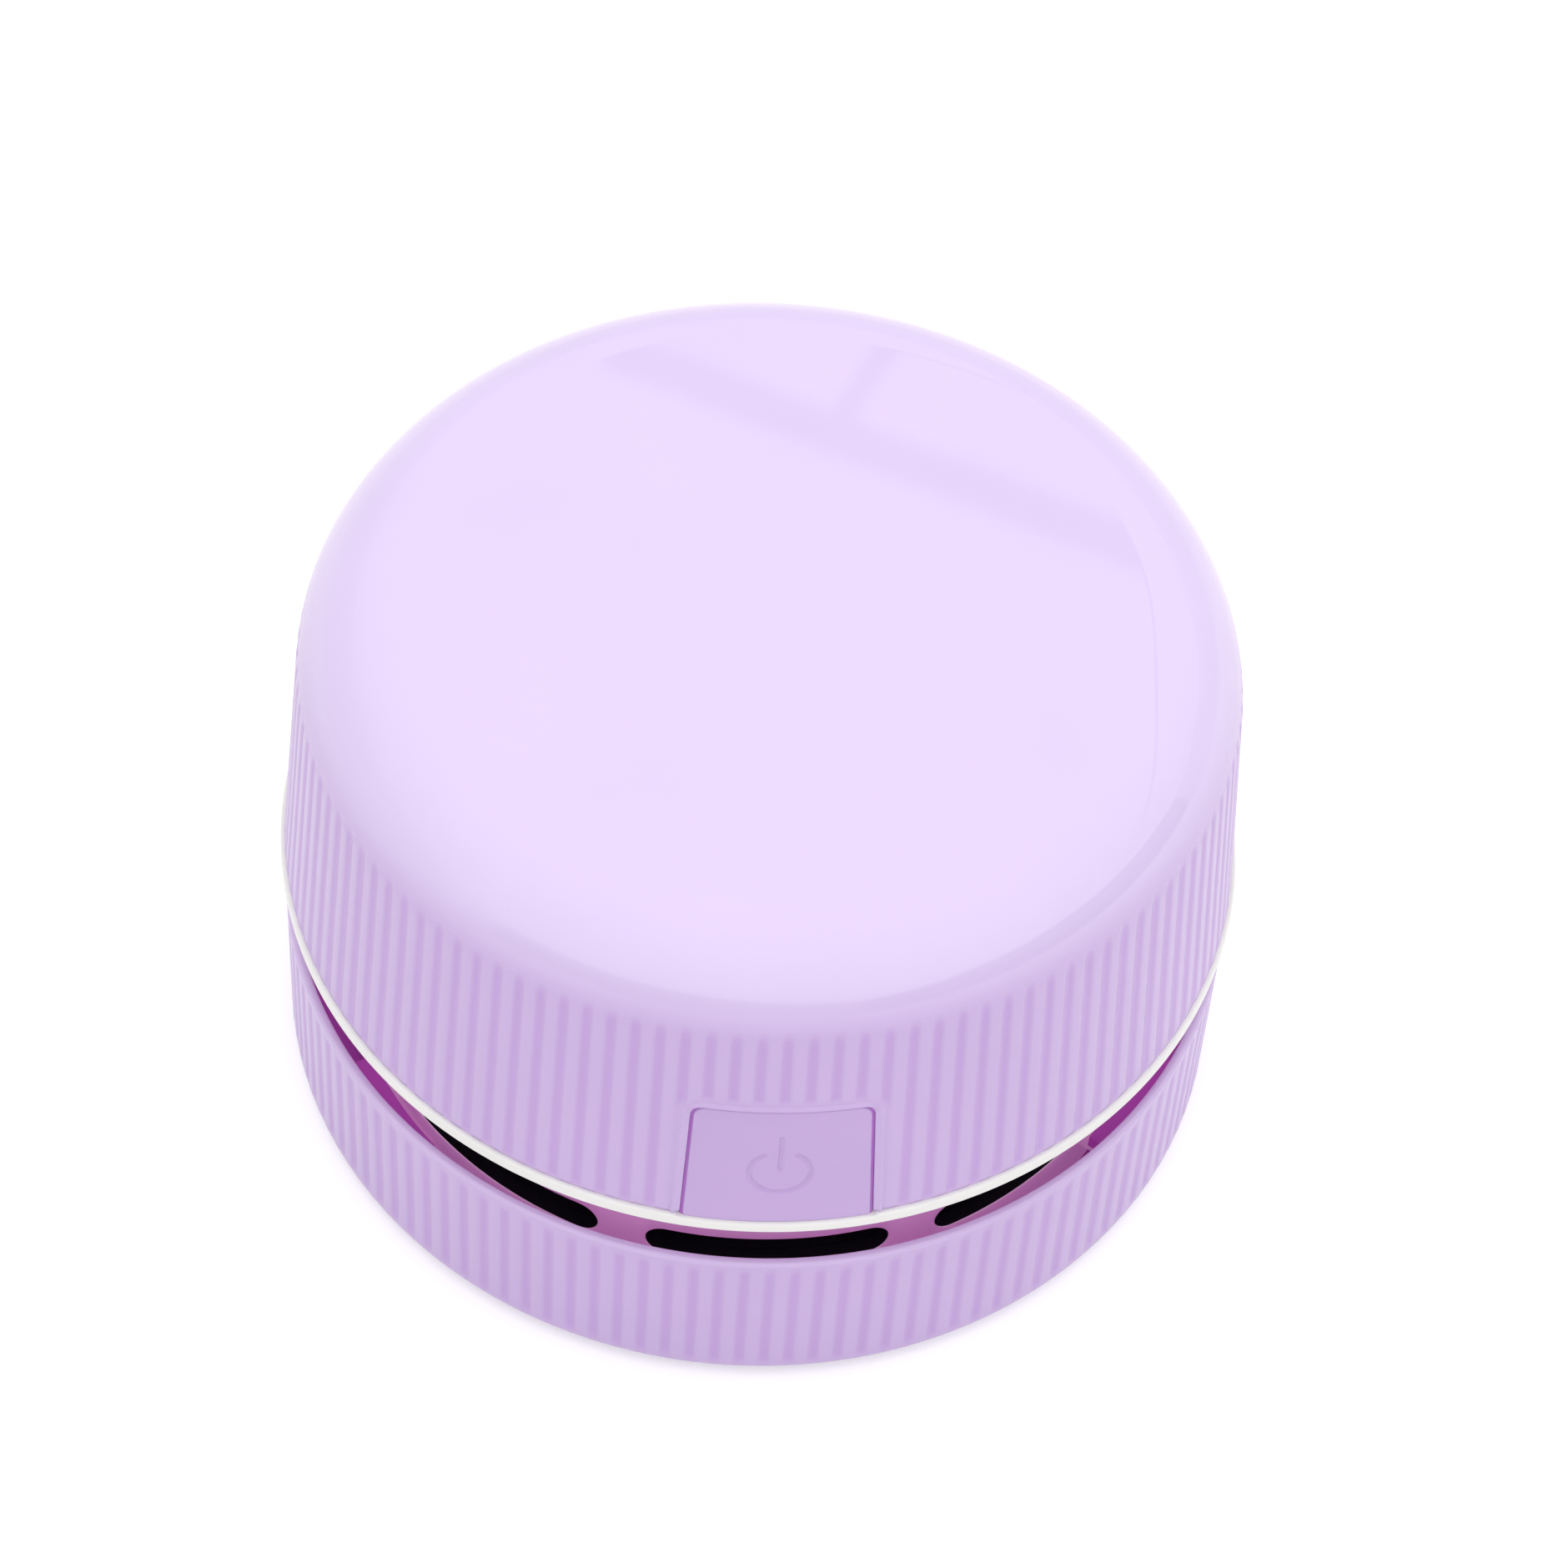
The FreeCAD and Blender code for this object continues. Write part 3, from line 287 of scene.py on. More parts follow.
def mouldedFinish(name, colour, rough, specular=0.5, metal=0.0, grain=0.02, coat=0.0, glow=None):
    # one colour with slight cloudy variation, uneven gloss and a fine moulded or rolled grain, each a noise on the
    # piece's own coordinates
    v = surfaceValues
    material = bpy.data.materials.new(name)
    material.use_nodes = True
    nodes, links = material.node_tree.nodes, material.node_tree.links
    shader = nodes["Principled BSDF"]
    setInputs(shader, {"Metallic": metal, "Specular IOR Level": specular, "Coat Weight": coat})
    # a glow is painted light on a part that is no lamp
    if glow:
        setInputs(shader, {"Emission Color": glow + (1.0,), "Emission Strength": 1.0})
    place = nodes.new("ShaderNodeTexCoord")

    def noise(scale, detail):
        texture = nodes.new("ShaderNodeTexNoise")
        setInputs(texture, {"Scale": scale, "Detail": detail})
        links.new(place.outputs["Object"], texture.inputs["Vector"])
        return texture.outputs["Fac"]

    tint = nodes.new("ShaderNodeValToRGB")
    ends = tint.color_ramp.elements
    ends[0].position, ends[1].position = 0.3, 0.7
    ends[0].color = [c * v["cloudDark"] for c in colour] + [1.0]
    ends[1].color = [min(c * v["cloudPale"], 1.0) for c in colour] + [1.0]
    links.new(noise(v["cloudScale"], v["cloudDetail"]), tint.inputs["Fac"])
    links.new(tint.outputs["Color"], shader.inputs["Base Color"])

    gloss = nodes.new("ShaderNodeMapRange")
    setInputs(gloss, {"To Min": rough * (1 - v["smearShare"]), "To Max": rough * (1 + v["smearShare"])})
    links.new(noise(v["smearScale"], v["smearDetail"]), gloss.inputs["Value"])
    links.new(gloss.outputs["Result"], shader.inputs["Roughness"])

    if grain:
        bump = nodes.new("ShaderNodeBump")
        setInputs(bump, {"Strength": min(grain * 4.0, 1.0), "Distance": v["grainHeight"]})
        links.new(noise(v["grainScale"], v["grainDetail"]), bump.inputs["Height"])
        links.new(bump.outputs["Normal"], shader.inputs["Normal"])
    return material


# the groove tone is painted shade in the rib grooves and the top tone a painted highlight on the lid's flat top and
# the dust box's rim; the crest tone is the plastic's own colour
shellTones = {"crest": (0.570, 0.406, 0.728), "groove": (0.518, 0.316, 0.694), "top": (0.705, 0.570, 0.860),
              "topGloss": 0.035, "ribGloss": 0.30, "cloudDark": 0.975, "smearShare": 0.1}


def shellFinish(material):
    # the lid's top is polished and also painted paler, a painted highlight, the ribs satin, and the grooves between
    # them
    # painted a shade deeper, a painted shade: tones mixed by the piece's own groove and polish values, times the
    # clouds, and the gloss between two levels times the smear
    nodes, links = material.node_tree.nodes, material.node_tree.links
    shader = nodes["Principled BSDF"]

    def ownValue(name):
        attribute = nodes.new("ShaderNodeAttribute")
        attribute.attribute_name = name
        return attribute.outputs["Fac"]

    def mixed(factor, a, b, blend="MIX"):
        mix = nodes.new("ShaderNodeMix")
        mix.data_type = "RGBA"
        mix.blend_type = blend
        colourIn = [k for k in mix.inputs if k.type == "RGBA"]
        factorIn = [k for k in mix.inputs if k.type == "VALUE"][0]
        for socket, value in zip([factorIn] + colourIn, (factor, a, b)):
            if isinstance(value, (float, tuple)):
                socket.default_value = value + (1.0,) if isinstance(value, tuple) else value
            else:
                links.new(value, socket)
        return [k for k in mix.outputs if k.type == "RGBA"][0]

    polishAndPaintedHighlight, groove = ownValue("polishAndPaintedHighlight"), ownValue("groove")
    tint = shader.inputs["Base Color"].links[0].from_node
    for element, level in zip(tint.color_ramp.elements, (shellTones["cloudDark"], 1.0)):
        element.color = (level, level, level, 1.0)
    tone = mixed(polishAndPaintedHighlight, mixed(groove, shellTones["crest"], shellTones["groove"]), shellTones["top"])
    links.new(mixed(1.0, tone, tint.outputs["Color"], "MULTIPLY"), shader.inputs["Base Color"])
    gloss = shader.inputs["Roughness"].links[0].from_node
    setInputs(gloss, {"To Min": 1 - shellTones["smearShare"], "To Max": 1 + shellTones["smearShare"]})
    level = nodes.new("ShaderNodeMapRange")
    setInputs(level, {"To Min": shellTones["ribGloss"], "To Max": shellTones["topGloss"]})
    links.new(polishAndPaintedHighlight, level.inputs["Value"])
    product = nodes.new("ShaderNodeMath")
    product.operation = "MULTIPLY"
    links.new(gloss.outputs["Result"], product.inputs[0])
    links.new(level.outputs["Result"], product.inputs[1])
    links.new(product.outputs[0], shader.inputs["Roughness"])


finishes = {name: mouldedFinish(name, **values) for name, values in materialValues.items()}
shellFinish(finishes["lilac_shell"])
print("materials made:", len(finishes))


lid = {"footZ": 24.75, "edgeZ": 25.5, "footRadius": 44.0, "topZ": 56.6, "draft": 2.0, "round": 9.2, "wall": 1.9,
       "footBreak": 0.2, "domeZ": 43.2, "highlightAndPolishFrom": 80, "highlightAndPolishTo": 46,
       "holdRibs": {"x": 20.35, "y": 8.0, "width": 9.0, "thick": 1.2, "foot": 44.0}}
ribs = {"count": 124, "depth": 0.18, "proud": 0.2, "floorHalf": 0.10, "crestHalf": 0.42, "softness": 0.07,
        "fade": 0.8}
frameBand = {"side": 0.95, "top": 0.5, "corner": 2.3, "edge": 0.16, "proud": 0.30, "ramp": 0.36, "hidden": 0.04,
             "cut": 0.42, "sink": 0.42, "sinkFrom": 0.45, "back": 0.25, "backInset": 0.55}
button = {"footHalf": 8.15, "headHalf": 7.5, "footZ": 25.3, "height": 14.8, "corner": 1.2, "footCorner": 0.5,
          "wall": 1.6, "gap": 0.3, "seen": 0.23, "edge": 0.14,
          "skirt": 0.20, "skirtDepth": 0.2, "skirtDrop": 0.4, "dropFrom": 0.3, "dropTo": 1.0,
          "ring": 2.64, "ringZ": 32.12, "ringOpen": 32.0, "barTop": 36.65, "barFoot": 32.5, "line": 0.33,
          "engraved": 0.21, "middle": 32.575, "stem": 4.0, "stemBack": 36.53, "legX": 6.0, "legWidth": 1.6,
          "legHeight": 5.0, "legEnd": 36.68, "hook": 1.0, "hookEdge": 0.15}
# the lid's notch follows the button's outline, so both pieces' values stand together
shoulderZ = lid["topZ"] - lid["round"]
lidSlope = lid["draft"] / (shoulderZ - lid["footZ"])
lidLean = math.atan(lidSlope)


def crestRadius(z):
    # radius of the rib crests on the lid's straight cone
    return lid["footRadius"] - lidSlope * (z - lid["footZ"])


tangentZ = shoulderZ + lid["round"] * math.sin(lidLean)  # where the cone runs into the round shoulder
shoulderCentre = crestRadius(tangentZ) - lid["round"] * math.cos(lidLean)


def ribColumns(shift=0.0):
    # angles of eight columns per rib, close together on the flanks, and each one's place across its pitch; shift
    # turns them all by a share of the pitch
    share = np.array([-0.5, -0.34, -0.25, -0.16, 0.0, 0.16, 0.25, 0.34])
    pitch = 2 * math.pi / ribs["count"]
    angle = (np.arange(ribs["count"])[:, None] + share + shift) * pitch
    return angle.ravel(), np.tile(share, ribs["count"])


def ribbed(radius, crest, share, fade=1.0):
    # a surface with soft grooves: the smaller, rounded, of the plain radius and the crest line less the groove
    sunk = ribs["depth"] - (ribs["depth"] + ribs["proud"]) * smoothStep(ribs["floorHalf"], ribs["crestHalf"],
                                                                       np.abs(share))
    return softMin(radius, crest - np.where(sunk > 0, sunk * fade, sunk), ribs["softness"])


def outlineGap(x, z, side, top, corner):
    # signed distance to the button's rounded outline grown by side and top, negative inside
    height = button["height"]
    half = button["footHalf"] + side - (button["footHalf"] - button["headHalf"]) * (z - button["footZ"]) / height
    across, along = np.abs(x) - half + corner, z - (button["footZ"] + height + top) + corner
    outside = np.hypot(np.maximum(across, 0), np.maximum(along, 0))
    return outside + np.minimum(np.maximum(across, along), 0) - corner


def outlinePath(side, top, corner, footZ, cornerSteps=14, topSteps=16, sideSteps=30):
    # points up one side of the outline, round the corner, over the top and down the other side, as x and z
    drop = (button["footHalf"] - button["headHalf"]) / button["height"]
    lean = math.atan(drop)
    headZ = button["footZ"] + button["height"] + top
    centreZ = headZ - corner
    centreX = button["footHalf"] + side - drop * (centreZ - button["footZ"]) - corner / math.cos(lean)
    turn = np.linspace(lean, math.pi / 2, cornerSteps)
    arc = np.stack([centreX + corner * np.cos(turn), centreZ + corner * np.sin(turn)], -1)
    foot = np.array([button["footHalf"] + side - drop * (footZ - button["footZ"]), footZ])
    straight = foot + (arc[0] - foot) * np.linspace(0, 1, sideSteps, endpoint=False)[:, None]
    across = np.linspace(arc[-1, 0], 0, topSteps)[1:]
    half = np.concatenate([straight, arc, np.stack([across, np.full(len(across), headZ)], -1)])
    return np.concatenate([half, half[:-1][::-1] * np.array([-1, 1])])


def plainRadius(z):
    # radius of the lid without its ribs: straight cone, then the round shoulder
    bulge = shoulderCentre + np.sqrt(np.maximum(lid["round"] ** 2 - np.maximum(z - shoulderZ, 0) ** 2, 0))
    return np.where(z < tangentZ, crestRadius(z), bulge)


def frontPoint(x, z, depth, radius=None):
    # point on the lid's front at x and z, sunk straight back by a depth
    r = crestRadius(z) - np.maximum(lid["edgeZ"] + lid["footBreak"] - z, 0) if radius is None else radius
    return np.stack(np.broadcast_arrays(x, depth - np.sqrt(np.maximum(r * r - x * x, 0)), z), -1)


def lidWall(angle, share):
    # both skins of the ribbed wall below the dome, with the notch cut out and the ribs faded round its frame; rows
    # stand close together at the foot and beside the notch's upper corners
    footZ, gap, band = lid["edgeZ"], button["gap"], frameBand
    low = np.concatenate([[footZ, footZ + lid["footBreak"], footZ + 0.5, footZ + 0.9], np.linspace(27.0, 39.0, 13),
                          np.arange(39.5, 42.4, 0.25), [lid["domeZ"]]])[:, None]
    crest = crestRadius(low)
    plain = crest - np.maximum(footZ + lid["footBreak"] - low, 0)
    front = np.cos(angle) > 0
    inFrame = outlineGap(crest * np.sin(angle), low, gap + band["side"], gap + band["top"], band["corner"])
    fade = np.where(front, smoothStep(0.0, ribs["fade"], inFrame), 1.0)
    outer = ribbed(plain, crest, share, fade * smoothStep(footZ, footZ + ribs["fade"], low))
    outer = np.where(front & (inFrame < -band["sinkFrom"]), crest - band["sink"], outer)
    inner = np.broadcast_to(crest - lid["wall"], outer.shape)
    middle = (np.roll(angle, -1, 1) + angle) / 2
    middle[:, -1] = angle[:, -1] + (angle[:, 0] + 2 * math.pi - angle[:, -1]) / 2
    midZ = (low[1:] + low[:-1]) / 2
    hole = outlineGap(crestRadius(midZ) * np.sin(middle), midZ, gap, gap, button["corner"] + gap) < band["cut"]
    keep = ~(hole & (np.cos(middle) > 0))
    return plateShell(turned(outer, angle, low), turned(inner, angle, low), keep=keep, wrapColumns=True, openTop=True)


def lidDome(angle, share):
    # outside above the button, as straight cone, shoulder and flat top, and the hollow under it
    bend = np.radians([7, 9, 11, 13, 15, 17, 19, 21.5, 25, 30, 36, 43, 50, 57, 64, 71, 77, 82, 86, 88.5, 90])
    coneZ = np.array([lid["domeZ"], 44.6, 46.0, 47.2, tangentZ])
    z = np.concatenate([coneZ, shoulderZ + lid["round"] * np.sin(bend), np.full(5, lid["topZ"])])[:, None]
    r = np.concatenate([crestRadius(coneZ), shoulderCentre + lid["round"] * np.cos(bend),
                        [shoulderCentre - 0.15, 24.0, 12.0, 4.0, 0.0]])[:, None]
    skin = np.where(r > 30, ribbed(r, crestRadius(z), share), r + share * 0)
    upper = sheetShell(turned(skin, angle, z), wrapColumns=True)

    bend = np.radians([5, 18, 32, 46, 60, 75, 90])
    inRound = lid["round"] - lid["wall"]
    wallZ = np.array([lid["domeZ"], 46.0])
    z = np.concatenate([wallZ, shoulderZ + inRound * np.sin(bend), [lid["topZ"] - lid["wall"]] * 2])[:, None]
    r = np.concatenate([crestRadius(wallZ) - lid["wall"], shoulderCentre + inRound * np.cos(bend),
                        [14.0, 0.0]])[:, None]
    return [upper, sheetShell(turned(r + share * 0, angle, z), wrapColumns=True)]


def lidFrame():
    # smooth frame round the notch: a closed section carried up, over and down its outline, from the notch's round
    # edge to a ramp that dips under the ribs
    gap, seen, band = button["gap"], button["seen"], frameBand
    inside = outlinePath(seen, seen, button["corner"] + seen, lid["edgeZ"])
    outside = outlinePath(gap + band["side"], gap + band["top"], band["corner"], lid["edgeZ"])
    away = outside - inside
    away = away / np.linalg.norm(away, axis=1, keepdims=True)
    quarter = np.linspace(0, math.pi / 2, 5)
    back = lid["wall"] + band["back"]
    rows = [(inside, back)]
    rows += [(inside + away * band["edge"] * (1 - math.cos(t)), band["edge"] * (1 - math.sin(t))) for t in quarter]
    rows += [(outside - away * band["ramp"] * (1 - t), band["hidden"] * t - band["proud"] * (1 - smoothStep(0, 1, t)))
             for t in np.linspace(0, 1, 6)]
    rows += [(outside, 1.0), (inside + away * band["backInset"], back)]
    return tubeShell(np.stack([frontPoint(p[:, 0], p[:, 1], depth) for p, depth in rows], 1))


def makeLid():
    # ribbed wall, dome and frame, and four ribs under the ceiling that hold the cells down
    angle, share = (row[None, :] for row in ribColumns())
    hold = lid["holdRibs"]
    wide, thick = hold["width"] / 2, hold["thick"] / 2
    holds = [boxShell(x - wide, x + wide, y - thick, y + thick, hold["foot"], lid["topZ"] - lid["wall"] / 2)
             for x in (-hold["x"], hold["x"]) for y in (-hold["y"], hold["y"])]
    shells = [lidWall(angle, share), *lidDome(angle, share), lidFrame(), *holds]
    piece = makePiece("lid", shells, "lilac_shell", ["top_cover"], sharp=50)
    # over the shoulder the lid's top is polished and painted paler: a painted highlight
    low, high = (shoulderZ + lid["round"] * math.cos(math.radians(lid[t])) for t in ("highlightAndPolishFrom", "highlightAndPolishTo"))
    paintShell(piece, plainRadius, lambda r, z: smoothStep(low, high, z))


makeLid()
print("lid made")


def buttonGrid():
    # columns close together at the edges and over the sign, rows close together at both ends
    near = np.array([0, 0.04, 0.1, 0.17, 0.26, 0.42, 0.7])
    sign = np.arange(-3.7, 3.71, 0.12)
    z0, z1 = button["footZ"], button["footZ"] + button["height"]
    rows = np.unique(np.round(np.concatenate([
        z0 + near, z0 + np.array([1.0, 1.6, 2.2, 2.8]), button["ringZ"] + sign,
        np.arange(button["ringZ"] + 3.7, button["barTop"] + 0.5, 0.12), np.arange(37.4, 38.9, 0.5),
        z1 - np.array([1.1, 0.95, 0.8, 0.65, 0.5, 0.38]), z1 - near[:5]]), 4))
    half = button["headHalf"]
    share = np.concatenate([-1 + near / half, [-0.86, -0.8, -0.72, -0.64, -0.56], sign / half,
                            [0.56, 0.64, 0.72, 0.8, 0.86], 1 - near[::-1] / half])
    return rows[:, None], share[None, :]


def signGroove(x, z):
    # depth of the sign: an open ring, and a bar from above it down to its middle, by distance from their lines
    up = z - button["ringZ"]
    ringLine = np.abs(np.hypot(x, up) - button["ring"])
    opening = math.radians(button["ringOpen"])
    ringEnd = np.hypot(np.abs(x) - button["ring"] * math.sin(opening), up - button["ring"] * math.cos(opening))
    ringLine = np.where(np.degrees(np.abs(np.arctan2(x, up))) < button["ringOpen"], ringEnd, ringLine)
    barLine = np.hypot(x, np.maximum(np.maximum(z - button["barTop"], button["barFoot"] - z), 0))
    line = np.minimum(ringLine, barLine)
    return button["engraved"] * (1 - smoothStep(button["line"] * 0.2, button["line"], line))


def makeButton():
    # a plate of the lid's cone with rounded corners and edges, a skirt behind it, a stem and two hooked legs
    z, share = buttonGrid()
    z0, height = button["footZ"], button["height"]
    side = button["footHalf"] - (button["footHalf"] - button["headHalf"]) * (z - z0) / height
    top, foot = button["corner"], button["footCorner"]
    up = np.clip(z - (z0 + height - top), 0, top)
    down = np.clip(z0 + foot - z, 0, foot)
    half = side - top + np.sqrt(top * top - up * up) - foot + np.sqrt(foot * foot - down * down)
    x = half * share
    within = np.minimum(np.minimum(-outlineGap(x, z, 0, 0, top), z - z0), 5)  # distance in from the outline
    inset = np.clip(within, 0, button["edge"])
    sink = button["edge"] - np.sqrt(np.maximum(button["edge"] ** 2 - (button["edge"] - inset) ** 2, 0))
    face = frontPoint(x, z, sink + signGroove(x, z), radius=crestRadius(z))
    cap = plateShell(face, frontPoint(x, z, button["wall"], radius=crestRadius(z)))

    # a skirt behind the face that nearly fills the gap round it
    wide = x * (1 + button["skirt"] / half)
    tall = (z - z0 - height / 2) * (1 + 2 * button["skirt"] / height) + z0 + height / 2
    depth = button["skirtDepth"] + button["skirtDrop"] * smoothStep(button["dropFrom"], button["dropTo"], within)
    skirt = plateShell(frontPoint(wide, tall, depth, radius=crestRadius(tall)),
                       frontPoint(wide, tall, button["wall"] - 0.05, radius=crestRadius(tall)))

    mid, stem = button["middle"], button["stem"] / 2
    faceY, endY = -(float(crestRadius(mid)) - button["wall"] / 2), -button["legEnd"]
    shells = [cap, skirt, boxShell(-stem, stem, faceY, -button["stemBack"], mid - stem, mid + stem)]
    for hand in (-1, 1):
        inner, outer = (hand * (button["legX"] + way * button["legWidth"] / 2) for way in (-1, 1))
        tip, heel = outer + hand * button["hook"], endY + button["hook"]
        leg = np.array([[inner, faceY], [inner, heel], [outer, heel], [tip, endY + button["hookEdge"]], [tip, endY],
                        [outer, endY], [outer, faceY]])
        ends = [mid - button["legHeight"] / 2, mid + button["legHeight"] / 2]
        shells.append(tubeShell(np.stack([np.column_stack([leg, np.full(len(leg), h)]) for h in ends])))
    # the skirt's deep_lilac finish is painted shade in the gap round the button, with a painted glow
    makePiece("button", shells, "lilac_button", ["power_button"], sharp=40, others=[("deep_lilac", [1])])


makeButton()
print("button made")


dustBox = {"footZ": 1.0, "floorZ": 2.6, "rimZ": 18.5, "footRadius": 44.3, "rimRadius": 44.1, "footBevel": 0.8,
           "rimInside": 43.2, "floorInside": 42.4, "rimRound": 0.4, "chamberOut": 36.6, "chamberIn": 35.2,
           "chamberTop": 6.9, "grooveIn": 13.05, "grooveOut": 16.45, "grooveTop": 3.2, "capWall": 1.0,
           "mouth": 9.0, "mouthWall": 1.4, "lipTop": 4.6, "hookIn": 38.8, "hookOut": 42.9, "hookZ": 6.9,
           "hookHeight": 1.4, "hookSpan": 16.0, "stopTurn": 8.3, "stopSpan": 1.6, "ribShift": -0.09,
           "rimPolishAndHighlight": 0.35}


def dustProfile():
    # closed outline of the dust box's section as (radius, z), from the mouth outwards, up, over the rim and back
    d = dustBox
    quarter = np.linspace(0, math.pi / 2, 6)[:, None]
    rimOut = np.hstack([d["rimRadius"] - d["rimRound"] * (1 - np.cos(quarter)),
                        d["rimZ"] - d["rimRound"] * (1 - np.sin(quarter))])
    rimIn = np.hstack([d["rimInside"] + 0.3 * (1 - np.sin(quarter)), d["rimZ"] - 0.3 * (1 - np.cos(quarter))])
    rise = np.concatenate([[0.0, 0.03, 0.06, 0.1], np.linspace(0.2, 0.85, 8), [0.89, 0.92, 0.95, 1.0]])[:, None]
    wallOut = np.array([d["footRadius"], d["footZ"] + d["footBevel"] + 0.1]) * (1 - rise) + \
        np.array([d["rimRadius"], d["rimZ"] - d["rimRound"] - 0.15]) * rise
    under = [(d["mouth"], d["footZ"] + 0.3), (d["mouth"] + 0.3, d["footZ"]), (d["grooveIn"] - 0.15, d["footZ"]),
             (d["grooveIn"], d["footZ"] + 0.15), (d["grooveIn"], d["grooveTop"]), (d["grooveOut"], d["grooveTop"]),
             (d["grooveOut"], d["footZ"] + 0.15), (d["grooveOut"] + 0.15, d["footZ"]), (28.0, d["footZ"]),
             (d["footRadius"] - d["footBevel"] - 0.12, d["footZ"]),
             (d["footRadius"] - d["footBevel"] + 0.06, d["footZ"] + 0.06),
             (d["footRadius"] - 0.06, d["footZ"] + d["footBevel"] - 0.06)]
    capOut, capIn = d["grooveOut"] + d["capWall"], d["grooveIn"] - d["capWall"]
    capTop, floor, wall = d["grooveTop"] + d["capWall"], d["floorZ"], d["mouth"] + d["mouthWall"]
    within = [(d["floorInside"] + 0.02, floor + 0.5), (d["floorInside"] - 0.12, floor + 0.12),
              (d["floorInside"] - 0.5, floor), (d["chamberOut"] + 0.3, floor), (d["chamberOut"], floor + 0.3),
              (d["chamberOut"], d["chamberTop"] - 0.2), (d["chamberOut"] - 0.2, d["chamberTop"]),
              (d["chamberIn"] + 0.2, d["chamberTop"]), (d["chamberIn"], d["chamberTop"] - 0.2),
              (d["chamberIn"], floor + 0.4), (d["chamberIn"] - 0.4, floor), (capOut + 0.3, floor),
              (capOut, floor + 0.3), (capOut, capTop - 0.3), (capOut - 0.3, capTop), (capIn + 0.3, capTop),
              (capIn, capTop - 0.3), (capIn, floor + 0.2), (capIn - 0.2, floor), (wall + 0.2, floor),
              (wall, floor + 0.2), (wall, d["lipTop"] - 0.3), (wall - 0.3, d["lipTop"]),
              (d["mouth"] + 0.3, d["lipTop"]), (d["mouth"], d["lipTop"] - 0.3)]
    return np.concatenate([under, wallOut, rimOut, rimIn, within]), len(under), len(wallOut) + len(rimOut)


def makeDustBox():
    # the section turned about the axis with ribs on its outer wall, and three hooks with their stops
    angle, share = ribColumns(dustBox["ribShift"])
    profile, start, count = dustProfile()
    r, z = profile[:, :1], profile[:, 1:]
    d = dustBox
    crest = d["footRadius"] + (d["rimRadius"] - d["footRadius"]) * (z - d["footZ"]) / (d["rimZ"] - d["footZ"])
    skin = np.broadcast_to(r, (len(r), len(angle))).copy()
    rows = slice(start - 3, start + count)
    fade = smoothStep(1.8, 3.2, z) * (1 - smoothStep(d["rimZ"] - 1.7, d["rimZ"] - 0.8, z))
    skin[rows] = ribbed(r[rows], crest[rows], share[None, :], fade[rows])
    shells = [sheetShell(turned(skin, angle[None, :], z), wrapRows=True, wrapColumns=True)]
    hookTop = d["hookZ"] + d["hookHeight"]
    for turn in (60, 180, 300):
        shells.append(sectorBlock(d["hookIn"], d["hookOut"], d["hookZ"], hookTop, turn, d["hookSpan"]))
        shells.append(sectorBlock(d["hookIn"], d["hookOut"], d["floorZ"] - 0.2, hookTop - 0.01, turn + d["stopTurn"],
                                  d["stopSpan"], 3))
    piece = makePiece("dustBox", shells, "lilac_shell", ["dust_box"], sharp=40)
    rise = (d["rimRadius"] - d["footRadius"]) / (d["rimZ"] - d["footZ"])
    low, high = d["footZ"] + d["footBevel"], d["rimZ"] - d["rimRound"]
    # painted shade and painted light: beyond the chamber wall the box's inside, with its hooks, is painted deep
    # violet with a glow, standing in for its shade and for light that filters in through the plastic
    reach, height = faceAverages(piece)
    repaint(piece, "deep_violet", (reach > d["chamberOut"]) & (reach < d["rimInside"] + 0.02) &
            (height > d["floorZ"] - 0.1) & (height < high))
    # the ribs get painted shade in their grooves, and the rim band is polished and painted a little paler, a painted
    # highlight
    paintShell(piece, lambda h: np.where((h > low) & (h < high), d["footRadius"] + rise * (h - d["footZ"]), 0.0),
               lambda r, h: d["rimPolishAndHighlight"] * smoothStep(high - 0.1, high + 0.2, h))


makeDustBox()
print("dust box made")


collar = {"radius": 38.4, "wall": 1.5, "footZ": 4.6, "topZ": 23.65, "slots": 9, "slotZ": 11.75,
          "slotHalfHeight": 1.95, "slotSpan": 33.2, "shortSpan": 19.6, "endSteps": 18, "crownSteps": 24,
          "edge": 0.15, "lip": 0.3, "skin": 0.17, "bulkheadZ": 16.6, "bulkhead": 1.6, "hole": 3.2,
          "bossRing": 33.4, "bossRadius": 2.3, "bossTurn": 20.0, "bossEdge": 0.15, "lugSpan": 14.0, "lugReach": 2.0,
          "lugZ": 5.2, "lugHeight": 1.4}


def slotLoop(grown, span):
    # a slot's outline with full-round ends, grown by a distance, as arc length and height from its centre
    half = math.radians(span / 2) * collar["radius"] - collar["slotHalfHeight"]
    reach = collar["slotHalfHeight"] + grown
    turn = np.linspace(-math.pi / 2, math.pi / 2, collar["endSteps"], endpoint=False)
    along = np.linspace(1, -1, collar["crownSteps"], endpoint=False)
    end = np.stack([half + reach * np.cos(turn), reach * np.sin(turn)], -1)
    crown = np.stack([half * along, np.full(len(along), reach)], -1)
    return np.concatenate([end, crown, -end, -crown])


def sectorLoop():
    # the edge of one slot's share of the collar, point for point beside the slot's outline
    sides, crowns = collar["endSteps"], collar["crownSteps"]
    half = math.pi / collar["slots"] * collar["radius"]
    low, high = collar["footZ"] - collar["slotZ"], collar["topZ"] - collar["slotZ"]
    rise = np.linspace(low, high, sides, endpoint=False)
    along = np.linspace(1, -1, crowns, endpoint=False)
    right = np.stack([np.full(sides, half), rise], -1)
    top = np.stack([half * along, np.full(crowns, high)], -1)
    left = np.stack([np.full(sides, -half), low + high - rise], -1)
    foot = np.stack([-half * along, np.full(crowns, low)], -1)
    return np.concatenate([right, top, left, foot])


